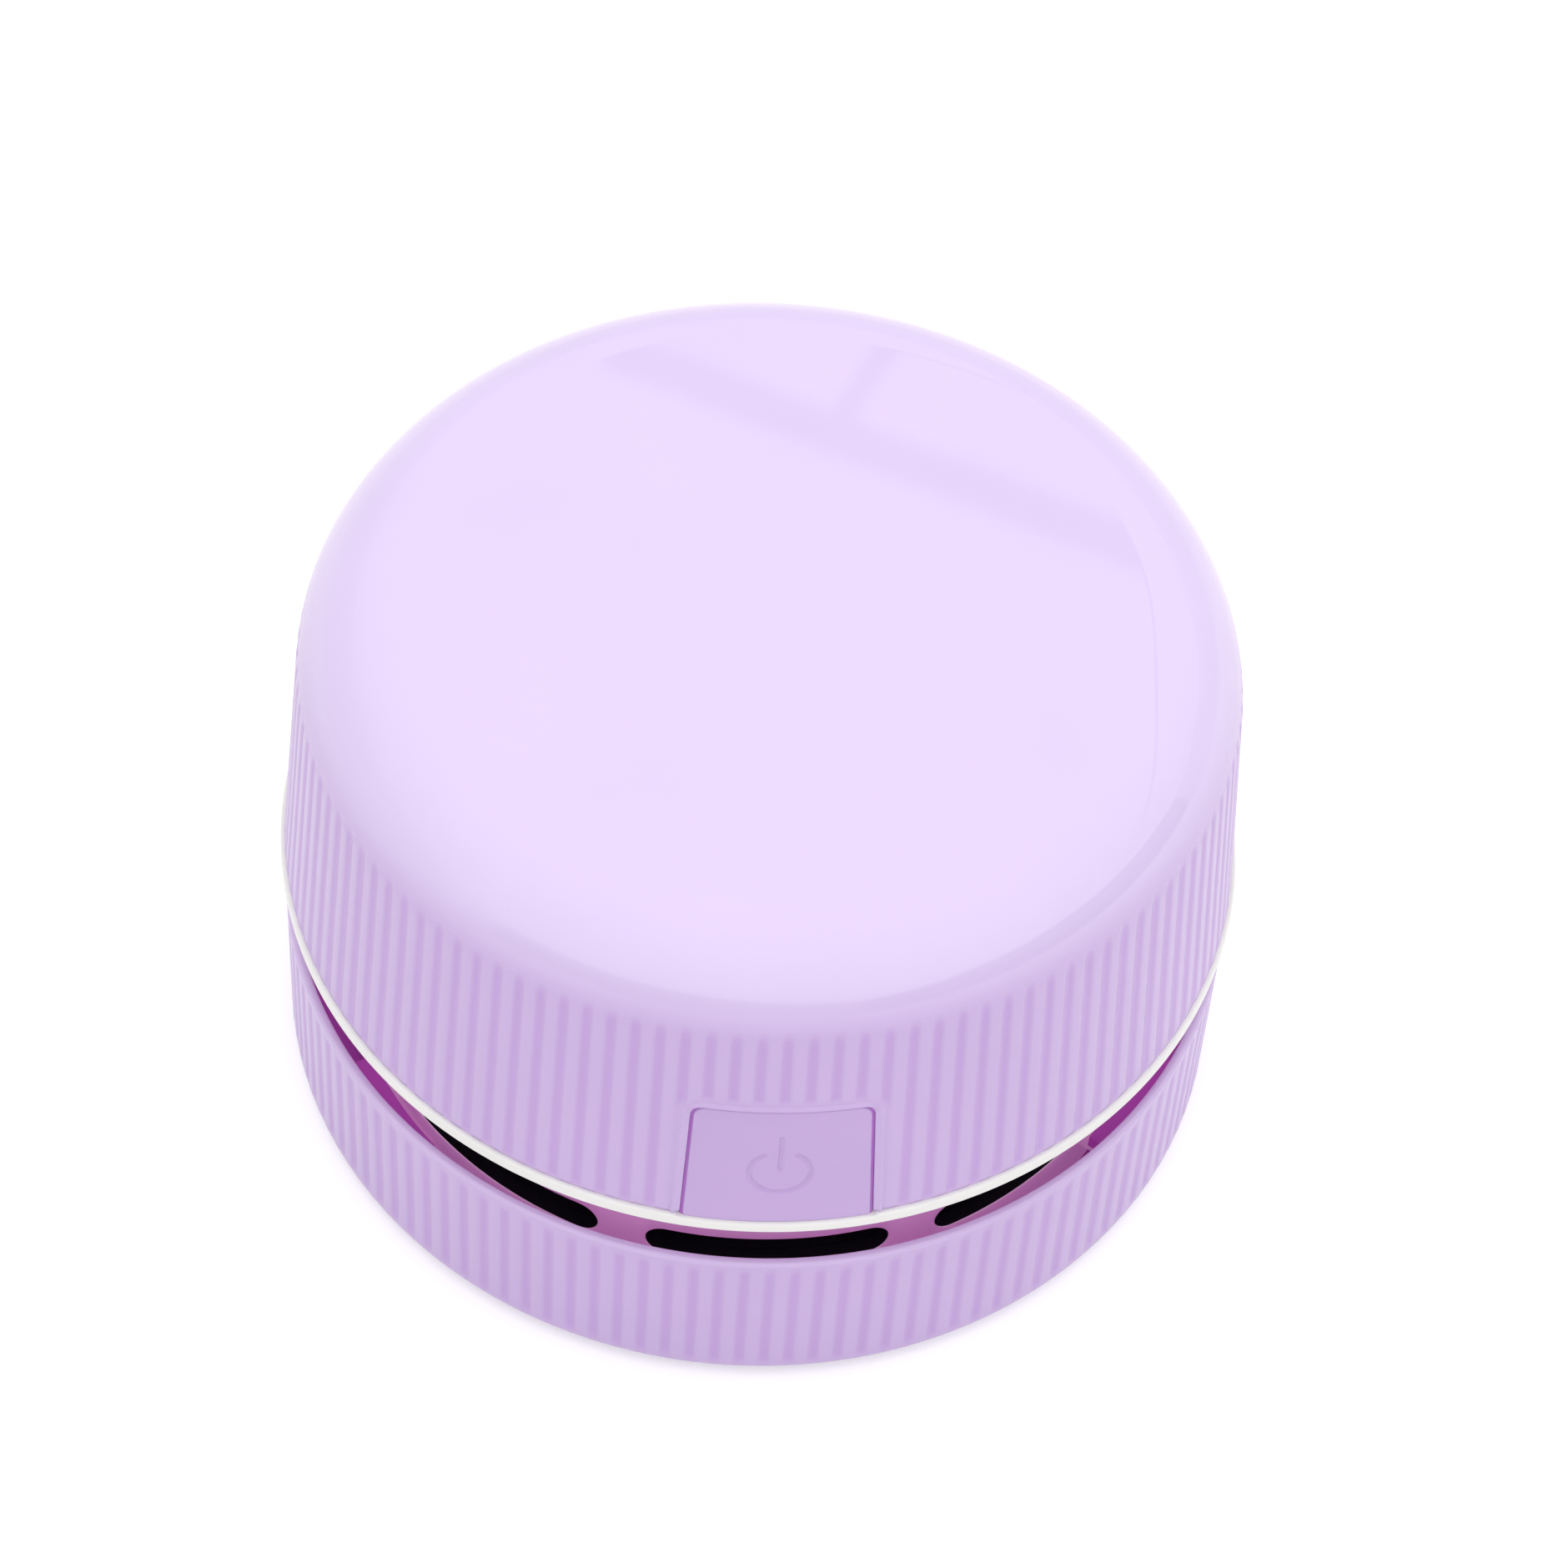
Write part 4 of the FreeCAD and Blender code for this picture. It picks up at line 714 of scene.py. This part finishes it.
def makeCollar():
    # a wall of one sheet per slot, carried from the inner skin through the slot to the outer skin and round the top
    # and the foot, a bulkhead with a hole for the shaft, and three bosses and lugs
    outer, inner, edge = collar["radius"], collar["radius"] - collar["wall"], collar["edge"]
    rim = sectorLoop()
    sides, crowns = collar["endSteps"], collar["crownSteps"]
    shells = []
    for k in range(collar["slots"]):
        # the slot beside each flank begins farther back than the others
        span = collar["shortSpan"] if k in (2, collar["slots"] - 2) else collar["slotSpan"]
        slide = math.radians(collar["slotSpan"] - span) / 2 * outer * (1 if k < collar["slots"] / 2 else -1)
        away = np.array([slide, 0.0])
        plain, eased, wide = (slotLoop(grown, span) + away for grown in (0.0, edge * 0.3, edge))
        rows = [(inner, rim), (inner, plain), (outer - collar["lip"], plain), (outer - edge, plain),
                (outer - edge * 0.3, eased), (outer, wide)]
        rows += [(outer, wide * (1 - t) + rim * t) for t in (0.25, 0.6, 1.0)]
        radius = np.array([r for r, _ in rows])[:, None]
        loops = np.stack([loop for _, loop in rows])
        keep = np.ones((len(rows), loops.shape[1]), bool)
        keep[-1, :sides] = keep[-1, sides + crowns:2 * sides + crowns] = False  # open where the next sheet joins
        angle = loops[:, :, 0] / outer + math.radians(k * 360 / collar["slots"])
        shells.append(sheetShell(turned(radius, angle, loops[:, :, 1] + collar["slotZ"]), wrapRows=True,
                                 wrapColumns=True, keep=keep))
    z0, z1 = collar["bulkheadZ"], collar["bulkheadZ"] + collar["bulkhead"]
    shells.append(latheShell([(collar["hole"], z0), (collar["hole"], z1), (inner + 0.2, z1), (inner + 0.2, z0)],
                             closed=True))
    r, foot, eased = collar["bossRadius"], collar["slotZ"] - collar["slotHalfHeight"], collar["bossEdge"]
    boss = [(0, foot), (r - eased, foot), (r, foot + eased), (r, z0 + 0.2), (0, z0 + 0.2)]
    for k in range(3):
        at = turned(collar["bossRing"], math.radians(collar["bossTurn"] + 120 * k), 0.0)
        shells.append(latheShell(boss, 32, at=at))
        shells.append(sectorBlock(outer - 0.3, outer + collar["lugReach"], collar["lugZ"],
                                  collar["lugZ"] + collar["lugHeight"], 120 * k + 60, collar["lugSpan"]))
    piece = makePiece("collar", shells, "violet_collar", ["exhaust_collar"], sharp=40)
    reach, _ = faceAverages(piece)
    repaint(piece, "black_plastic", reach < outer - collar["skin"])  # painted shade: the wall's inside, where only shade shows through the slots, is painted black


makeCollar()
print("collar made")


whiteRing = {"radius": 44.3, "inside": 42.6, "footZ": 24.1, "topZ": 25.49, "round": 0.25, "relief": 0.22,
             "reliefHalf": 8.75}


def makeWhiteRing():
    # a closed section turned about the axis, its top lower under the button so that the button's foot clears it
    w = whiteRing
    turn = np.linspace(0, math.pi / 2, 6)
    early, late = w["round"] * (1 - np.cos(turn)), w["round"] * (1 - np.sin(turn))
    upper = np.stack([w["radius"] - late, w["topZ"] - early], -1)
    lower = np.stack([w["radius"] - early, w["footZ"] + late], -1)
    inside = [(w["inside"], w["footZ"] + 0.05), (w["inside"], w["topZ"]), (43.6, w["topZ"])]
    profile = np.concatenate([inside, upper, lower])
    angle = np.radians(np.concatenate([np.linspace(-180, -14, 150), np.linspace(-13, 13, 105),
                                       np.linspace(14, 180, 150, endpoint=False)]))
    drop = w["relief"] * (1 - smoothStep(w["reliefHalf"] - 0.1, w["reliefHalf"] + 0.1, np.abs(angle) * w["radius"]))
    r, z = profile[:, :1], profile[:, 1:]
    z = np.where(z > w["footZ"] + 0.5, z - drop, z)
    shell = sheetShell(turned(r, angle[None, :], z), wrapRows=True, wrapColumns=True)
    makePiece("whiteRing", [shell], "white_plastic", ["battery_deck"], sharp=40)


# for each node, the finish and the rounding of its edges in millimetres
plainCopies = {"battery_deck": ("white_plastic", 0.12), "inlet_plate": ("black_plastic", 0.04),
               "fan_impeller": ("grey_plastic", 0.15), "motor_can": ("motor_steel", 0.25),
               "motor_bushing": ("brass", 0.12), "motor_pad": ("foam", 0.1), "motor_end_cap": ("white_plastic", 0.12),
               "motor_terminals": ("brass", 0.06), "motor_armature": ("armature_steel", 0.1),
               "motor_magnets": ("magnet", 0.1), "motor_shaft": ("motor_steel", 0.1),
               "contact_positive": ("nickel", 0.06), "contact_negative": ("nickel", 0.06),
               "contact_bridge": ("nickel", 0.06), "switch_body": ("black_plastic", 0.2),
               "switch_plunger": ("white_plastic", 0.2), "switch_pins": ("brass", 0.06),
               "lead_cell_to_switch": ("lead_red", 0.0), "lead_switch_to_motor": ("lead_red", 0.0),
               "lead_motor_to_cell": ("lead_black", 0.0), "glide_pads": ("glide", 0.15),
               "brush_ring": ("black_plastic", 0.12), "dust_seal": ("seal", 0.1),
               "filter_frame": ("white_plastic", 0.15)}
for node, (finish, bevel) in plainCopies.items():
    softenedCopy(node, finish, bevel)
makeWhiteRing()
print("plain copies and white ring made")


screws = {"radius": 1.0, "head": 1.9, "sink": 0.9, "panHeight": 1.2, "dome": 0.25, "panEdge": 0.25,
          "flatEdge": 0.08, "threadPitch": 0.7, "threadDepth": 0.14, "rowsPerPitch": 6, "tip": 0.45, "sides": 36,
          "cross": 0.15, "crossSlope": 0.12, "crossReach": 1.0, "crossDepth": 0.6, "spin": 0.4,
          "sets": {"plate_screws": {"kind": "flat", "z": 8.6, "length": 6.0, "circle": 33.4, "turns": (20, 140, 260)},
                   "motor_screws": {"kind": "flat", "z": 16.6, "length": 3.2, "circle": 6.5, "turns": (90, 270)},
                   "deck_screws": {"kind": "pan", "z": 15.4, "length": 7.2, "circle": 31.5,
                                   "turns": (80, 200, 320)}}}


def screwShell(kind, z, length, at, spin):
    # head face as a polar grid sunk by a cross, then the head's side, a thread that rises with the angle, and a tip
    angle = np.linspace(0, 2 * math.pi, screws["sides"], endpoint=False)[None, :] + spin
    head, radius, pan = screws["head"], screws["radius"], kind == "pan"
    edge = screws["panEdge"] if pan else screws["flatEdge"]
    reach = np.concatenate([[0.0], np.linspace(0.08, 1.3, 16), [head - edge]])[:, None]
    dome = screws["dome"] * (reach / head) ** 2 if pan else reach * 0
    across, along = np.abs(reach * np.cos(angle - spin)), np.abs(reach * np.sin(angle - spin))
    cross = 1 - smoothStep(screws["cross"], screws["cross"] + screws["crossSlope"], np.minimum(across, along))
    sunk = screws["crossDepth"] * cross * (1 - smoothStep(screws["crossReach"], screws["crossReach"] + 0.2, reach))
    if pan:
        side = [(head - 0.07, 0.32), (head, 0.5), (head, 1.1), (head - 0.1, screws["panHeight"]),
                (radius - 0.1, screws["panHeight"])]
    else:
        side = [(head, 0.08), (head, 0.16), (radius - 0.1, screws["sink"])]
    rise = np.arange(z + side[-1][1] + 0.1, z + length - 0.8, screws["threadPitch"] / screws["rowsPerPitch"])[:, None]
    wave = 0.5 + 0.5 * np.cos(2 * math.pi * rise / screws["threadPitch"] - angle)
    rows = [(reach, z + dome + sunk)] + [(r, z + h) for r, h in side]
    rows += [(radius - screws["threadDepth"] * wave, rise), (screws["tip"], z + length - 0.2), (0.0, z + length)]
    rings = [turned(np.atleast_2d(r), angle, h) for r, h in rows]
    return sheetShell(np.concatenate(rings) + np.array([at[0], at[1], 0.0]), wrapColumns=True)


def makeScrews():
    # each set's screws stand in a ring about the axis, their crosses turned at odd angles
    for node, group in screws["sets"].items():
        shells = [screwShell(group["kind"], group["z"], group["length"],
                             turned(group["circle"], math.radians(turn), 0.0), screws["spin"] + turn)
                  for turn in group["turns"]]
        makePiece(node, shells, "screw_steel", [node], sharp=35)


makeScrews()
print("screws made")


cell = {"x": 20.35, "z": 36.5, "radius": 7.2, "length": 49.2, "nubRadius": 2.75, "nub": 1.3, "halfBay": 27.0,
        "bandFrom": 39.0, "bandTo": 43.0, "sleeve": 0.3, "can": 0.35,
        "rim": ((1.0, 0.0), (0.5, 0.02), (0.2, 0.12), (0.05, 0.32), (0.0, 0.6))}
spring = {"length": 3.5, "wire": 0.35, "turns": 3.5, "root": 4.2, "tip": 2.9, "steps": 120, "sides": 10}


def lyingShell(shell, side):
    # an upright shell laid along Y at one side, its top towards the front on the left and the back on the right
    points, faces = shell
    along = points[:, 2] - cell["length"] + cell["halfBay"] - cell["nub"]
    return np.stack([side * (points[:, 0] + cell["x"]), side * along, points[:, 1] + cell["z"]], -1), faces


def makeCells():
    # a sleeve, a pale band and a top sleeve, each a closed section, round a steel can with a nub
    r, long, nub = cell["radius"], cell["length"], cell["nubRadius"]
    skin, can, end = r - cell["sleeve"], r - cell["can"], long + cell["nub"]
    rim = [(r - inward, up) for inward, up in cell["rim"]]
    foot, low, high = rim[-1][1], cell["bandFrom"], cell["bandTo"]
    sleeve = rim + [(r, low), (skin, low), (skin, foot), (rim[0][0], 0.35)]
    band = [(r, low), (r, high), (skin, high), (skin, low)]
    top = [(r, high)] + [(x, long - up) for x, up in rim[::-1]] + \
        [(rim[0][0], long - 0.35), (skin, long - foot), (skin, high)]
    steel = [(0, 0.2), (r - 1.6, 0.2), (r - 1.2, 0.3), (r - 0.6, 0.5), (can, 0.9), (can, long - 0.9),
             (r - 0.6, long - 0.5), (r - 1.2, long - 0.3), (4.0, long - 0.3), (3.4, long - 0.1), (3.0, long),
             (nub, long + 0.15), (nub, end - 0.25), (nub - 0.08, end - 0.08), (nub - 0.25, end), (0, end)]
    rings = [latheShell(ring, closed=True) for ring in (sleeve, top, band)] + [latheShell(steel)]
    for side, node in ((-1, "aa_cell_left"), (1, "aa_cell_right")):
        makePiece(node, [lyingShell(ring, side) for ring in rings], "cell_case", [node], sharp=40,
                  others=[("white_plastic", [2]), ("nickel", [3])])


def makeSprings():
    # a wire of round section along a cone's helix: radius and place along Y grow evenly with the turn
    share = np.linspace(0, 1, spring["steps"])[:, None]
    turn = 2 * math.pi * spring["turns"] * share
    around = np.linspace(0, 2 * math.pi, spring["sides"], endpoint=False)[None, :]
    wire = spring["wire"]
    reach = spring["tip"] + (spring["root"] - spring["tip"]) * share + wire * np.cos(around)
    along = cell["halfBay"] - spring["length"] + wire + (spring["length"] - 2 * wire) * share + wire * np.sin(around)
    shells = [tubeShell(np.stack([side * cell["x"] + reach * np.cos(turn), -side * along,
                                  cell["z"] + reach * np.sin(turn)], -1)) for side in (-1, 1)]
    makePiece("springs", shells, "nickel", ["contact_springs"], sharp=50)


makeCells()
makeSprings()
print("cells and springs made")


brush = {"tufts": 24, "circle": 14.75, "perTuft": 19, "rootRadius": 0.72, "tipRadius": 0.95, "rootZ": 2.1,
         "tipZ": 0.17, "bristle": 0.085, "taper": 0.45, "bow": 1.6, "rings": 4, "sides": 5,
         "goldenAngle": 2.39996, "tuftTurn": 5.0, "uneven": 0.12, "unevenStep": 7.3, "unevenTuft": 11.0}


def makeBristles():
    # each tuft's bristles stand in a sunflower pattern and spread towards their tips, on five-sided tapered tubes;
    # sines of a bristle's and a tuft's number make the tips uneven
    tuft = (np.arange(brush["tufts"]) * 2 * math.pi / brush["tufts"])[:, None, None, None]
    number = np.arange(brush["perTuft"])[None, :, None, None]
    share = np.sqrt((number + 0.5) / brush["perTuft"])
    turn = number * brush["goldenAngle"] + tuft * brush["tuftTurn"]
    drop = np.linspace(0, 1, brush["rings"])[None, None, :, None]
    spread = share * (brush["rootRadius"] + (brush["tipRadius"] - brush["rootRadius"]) * drop ** brush["bow"])
    side = (np.arange(brush["sides"]) * 2 * math.pi / brush["sides"])[None, None, None, :]
    thick = brush["bristle"] * (1 - brush["taper"] * drop)
    x = brush["circle"] * np.sin(tuft) + spread * np.cos(turn) + thick * np.cos(side)
    y = -brush["circle"] * np.cos(tuft) + spread * np.sin(turn) + thick * np.sin(side)
    wave = np.sin(number * brush["unevenStep"] + tuft * brush["unevenTuft"])
    uneven = brush["uneven"] * (0.5 + 0.5 * wave)
    z = brush["rootZ"] + (brush["tipZ"] + uneven - brush["rootZ"]) * drop
    points = np.stack(np.broadcast_arrays(x, y, z), -1).reshape(-1, brush["rings"], brush["sides"], 3)
    makePiece("bristles", [tubeShell(sections) for sections in points], "bristle", ["brush_tufts"], sharp=50)


makeBristles()
print("bristles made")


filterMesh = {"radius": 35.1, "rim": 0.8, "footZ": 8.1, "topZ": 8.4, "pitch": 0.9, "thread": 0.085, "sides": 6,
              "inset": 0.02}


def makeFilterMesh():
    # two layers of straight threads, one across and one along, that end inside a thin rim
    f = filterMesh
    bore, lift = f["radius"] - f["rim"], f["thread"] + f["inset"]
    last = int(bore / f["pitch"])
    place = (np.arange(-last, last + 1) * f["pitch"])[:, None, None]
    half = np.sqrt((f["radius"] - f["rim"] / 2) ** 2 - place ** 2) * np.array([-1, 1])[None, :, None]
    turn = (np.arange(f["sides"]) * 2 * math.pi / f["sides"])[None, None, :]
    shells = [latheShell([(bore, f["footZ"]), (f["radius"], f["footZ"]), (f["radius"], f["topZ"]),
                          (bore, f["topZ"])], closed=True)]
    for height, order in ((f["footZ"] + lift, (0, 1, 2)), (f["topZ"] - lift, (1, 0, 2))):
        rods = np.stack(np.broadcast_arrays(place + f["thread"] * np.cos(turn), half + 0 * turn,
                                            height + f["thread"] * np.sin(turn)), -1)[..., order]
        shells += [tubeShell(rod) for rod in rods]
    makePiece("filterMesh", shells, "mesh", ["filter_mesh"], sharp=50)


makeFilterMesh()
print("filter mesh made")


view = {"focalPixels": 5000, "framePixels": 1880, "sensor": 36, "distance": 382.96, "elevation": 51.28, "aimZ": 31.0,
        "pan": -0.29, "tilt": 0.01, "roll": -3.9, "turn": -4.9}


def placeCamera():
    # the camera stands off its aim at an elevation, pans, tilts and rolls about its own axes, and last turns with
    # its place about the upright axis
    e = math.radians(view["elevation"])
    spot = Vector((0, -view["distance"] * math.cos(e), view["distance"] * math.sin(e) + view["aimZ"]))
    ahead, right = Vector((0, math.cos(e), -math.sin(e))), Vector((1, 0, 0))
    axes = {"right": right, "above": right.cross(ahead), "ahead": ahead}
    for axis, angle in (("above", view["pan"]), ("right", view["tilt"]), ("ahead", view["roll"])):
        turn = Matrix.Rotation(math.radians(angle), 3, axes[axis].copy())
        axes = {name: turn @ direction for name, direction in axes.items()}
    aroundZ = Matrix.Rotation(math.radians(view["turn"]), 3, "Z")
    right, above, back = (aroundZ @ d for d in (axes["right"], axes["above"], -axes["ahead"]))
    spot = aroundZ @ spot * mm
    data = bpy.data.cameras.new("camera")
    data.lens = view["focalPixels"] / view["framePixels"] * view["sensor"]
    data.sensor_width = view["sensor"]
    data.clip_start, data.clip_end = 0.01, 20
    camera = bpy.data.objects.new("camera", data)
    bpy.context.scene.collection.objects.link(camera)
    camera.matrix_world = Matrix([(*row, place) for row, place in zip(zip(right, above, back), spot)] +
                                 [(0, 0, 0, 1)])
    bpy.context.scene.camera = camera


# panes of one window in the ceiling with darker bars between them: u and v from, to, and level; walls: u, v of the
# middle, width, facing and level; u runs along the long bar, in metres
lights = {"ceilingZ": 0.9, "world": 0.3, "barFoot": (0.0, 0.852), "barTurn": -27.5,
          "panes": {"main": (-1.2, 3.2, -3.5, 0.0, 1.0), "backLeft": (-1.2, 0.0, 0.0, 1.2, 1.0),
                    "backMiddle": (0.0, 0.087, 0.021, 1.2, 1.0), "backRight": (0.097, 3.2, 0.021, 1.2, 1.0),
                    "longBar": (0.0, 3.2, 0.0, 0.021, 0.4), "shortBar": (0.087, 0.097, 0.021, 1.2, 0.4)},
          "walls": {"left": (-1.2, -1.15, 4.7, -90.0, 0.85), "back": (1.0, 1.2, 4.4, 180.0, 0.8),
                    "right": (3.2, -1.15, 4.7, 90.0, 0.35), "front": (1.0, -3.5, 4.4, 0.0, 0.55)}}


def areaLamp(name, width, height, level, place):
    # a rectangle of even light whose radiance is its level
    data = bpy.data.lights.new(name, "AREA")
    data.shape = "RECTANGLE"
    data.size, data.size_y = width, height
    data.energy = math.pi * level * width * height
    lamp = bpy.data.objects.new(name, data)
    lamp.matrix_world = place
    bpy.context.scene.collection.objects.link(lamp)
    return lamp


def makeLights():
    # panes lie flat in the ceiling, in a frame turned about the bar's foot; walls stand upright round them
    turn = Matrix.Rotation(math.radians(lights["barTurn"]), 4, "Z")
    foot, ceiling = lights["barFoot"], lights["ceilingZ"]
    for name, (u0, u1, v0, v1, level) in lights["panes"].items():
        areaLamp(name, u1 - u0, v1 - v0, level, Matrix.Translation((*foot, ceiling)) @ turn @
                 Matrix.Translation(((u0 + u1) / 2, (v0 + v1) / 2, 0)))
    # pale studio walls that only gloss shows
    for name, (u, v, width, facing, level) in lights["walls"].items():
        place = Matrix.Translation((*foot, ceiling / 2)) @ turn @ Matrix.Translation((u, v, 0)) @ \
            Matrix.Rotation(math.radians(facing), 4, "Z") @ Matrix.Rotation(math.radians(90), 4, "X")
        areaLamp(name, width, ceiling - 0.02, level, place).visible_diffuse = False
    world = bpy.data.worlds.new("studio")
    world.use_nodes = True
    setInputs(world.node_tree.nodes["Background"], {"Color": (1, 1, 1, 1), "Strength": lights["world"]})
    bpy.context.scene.world = world


floorValues = {"half": 4, "tone": 0.86, "rough": 0.9, "glow": 0.3}


def makeFloor():
    # a pale matt floor that also shows white to the camera, to mirrors and through glass
    half, tone = floorValues["half"], floorValues["tone"]
    mesh = bpy.data.meshes.new("floor")
    mesh.from_pydata([(-half, -half, 0), (half, -half, 0), (half, half, 0), (-half, half, 0)], [], [(0, 1, 2, 3)])
    floor = bpy.data.objects.new("floor", mesh)
    bpy.context.scene.collection.objects.link(floor)
    material = bpy.data.materials.new("floor")
    material.use_nodes = True
    nodes, links = material.node_tree.nodes, material.node_tree.links
    shader = nodes["Principled BSDF"]
    setInputs(shader, {"Base Color": (tone, tone, tone, 1), "Roughness": floorValues["rough"],
                       "Emission Color": (1, 1, 1, 1)})
    seen = nodes.new("ShaderNodeLightPath")

    def combined(operation, a, b):
        step = nodes.new("ShaderNodeMath")
        step.operation = operation
        links.new(a, step.inputs[0])
        if isinstance(b, float):
            step.inputs[1].default_value = b
        else:
            links.new(b, step.inputs[1])
        return step.outputs[0]

    shown = combined("MAXIMUM", seen.outputs["Is Camera Ray"], seen.outputs["Is Glossy Ray"])
    shown = combined("MAXIMUM", shown, seen.outputs["Is Transmission Ray"])
    links.new(combined("MULTIPLY", shown, floorValues["glow"]), shader.inputs["Emission Strength"])
    mesh.materials.append(material)


placeCamera()
makeLights()
makeFloor()
bpy.context.scene.view_settings.view_transform = "Standard"
print("camera, lights and floor made")
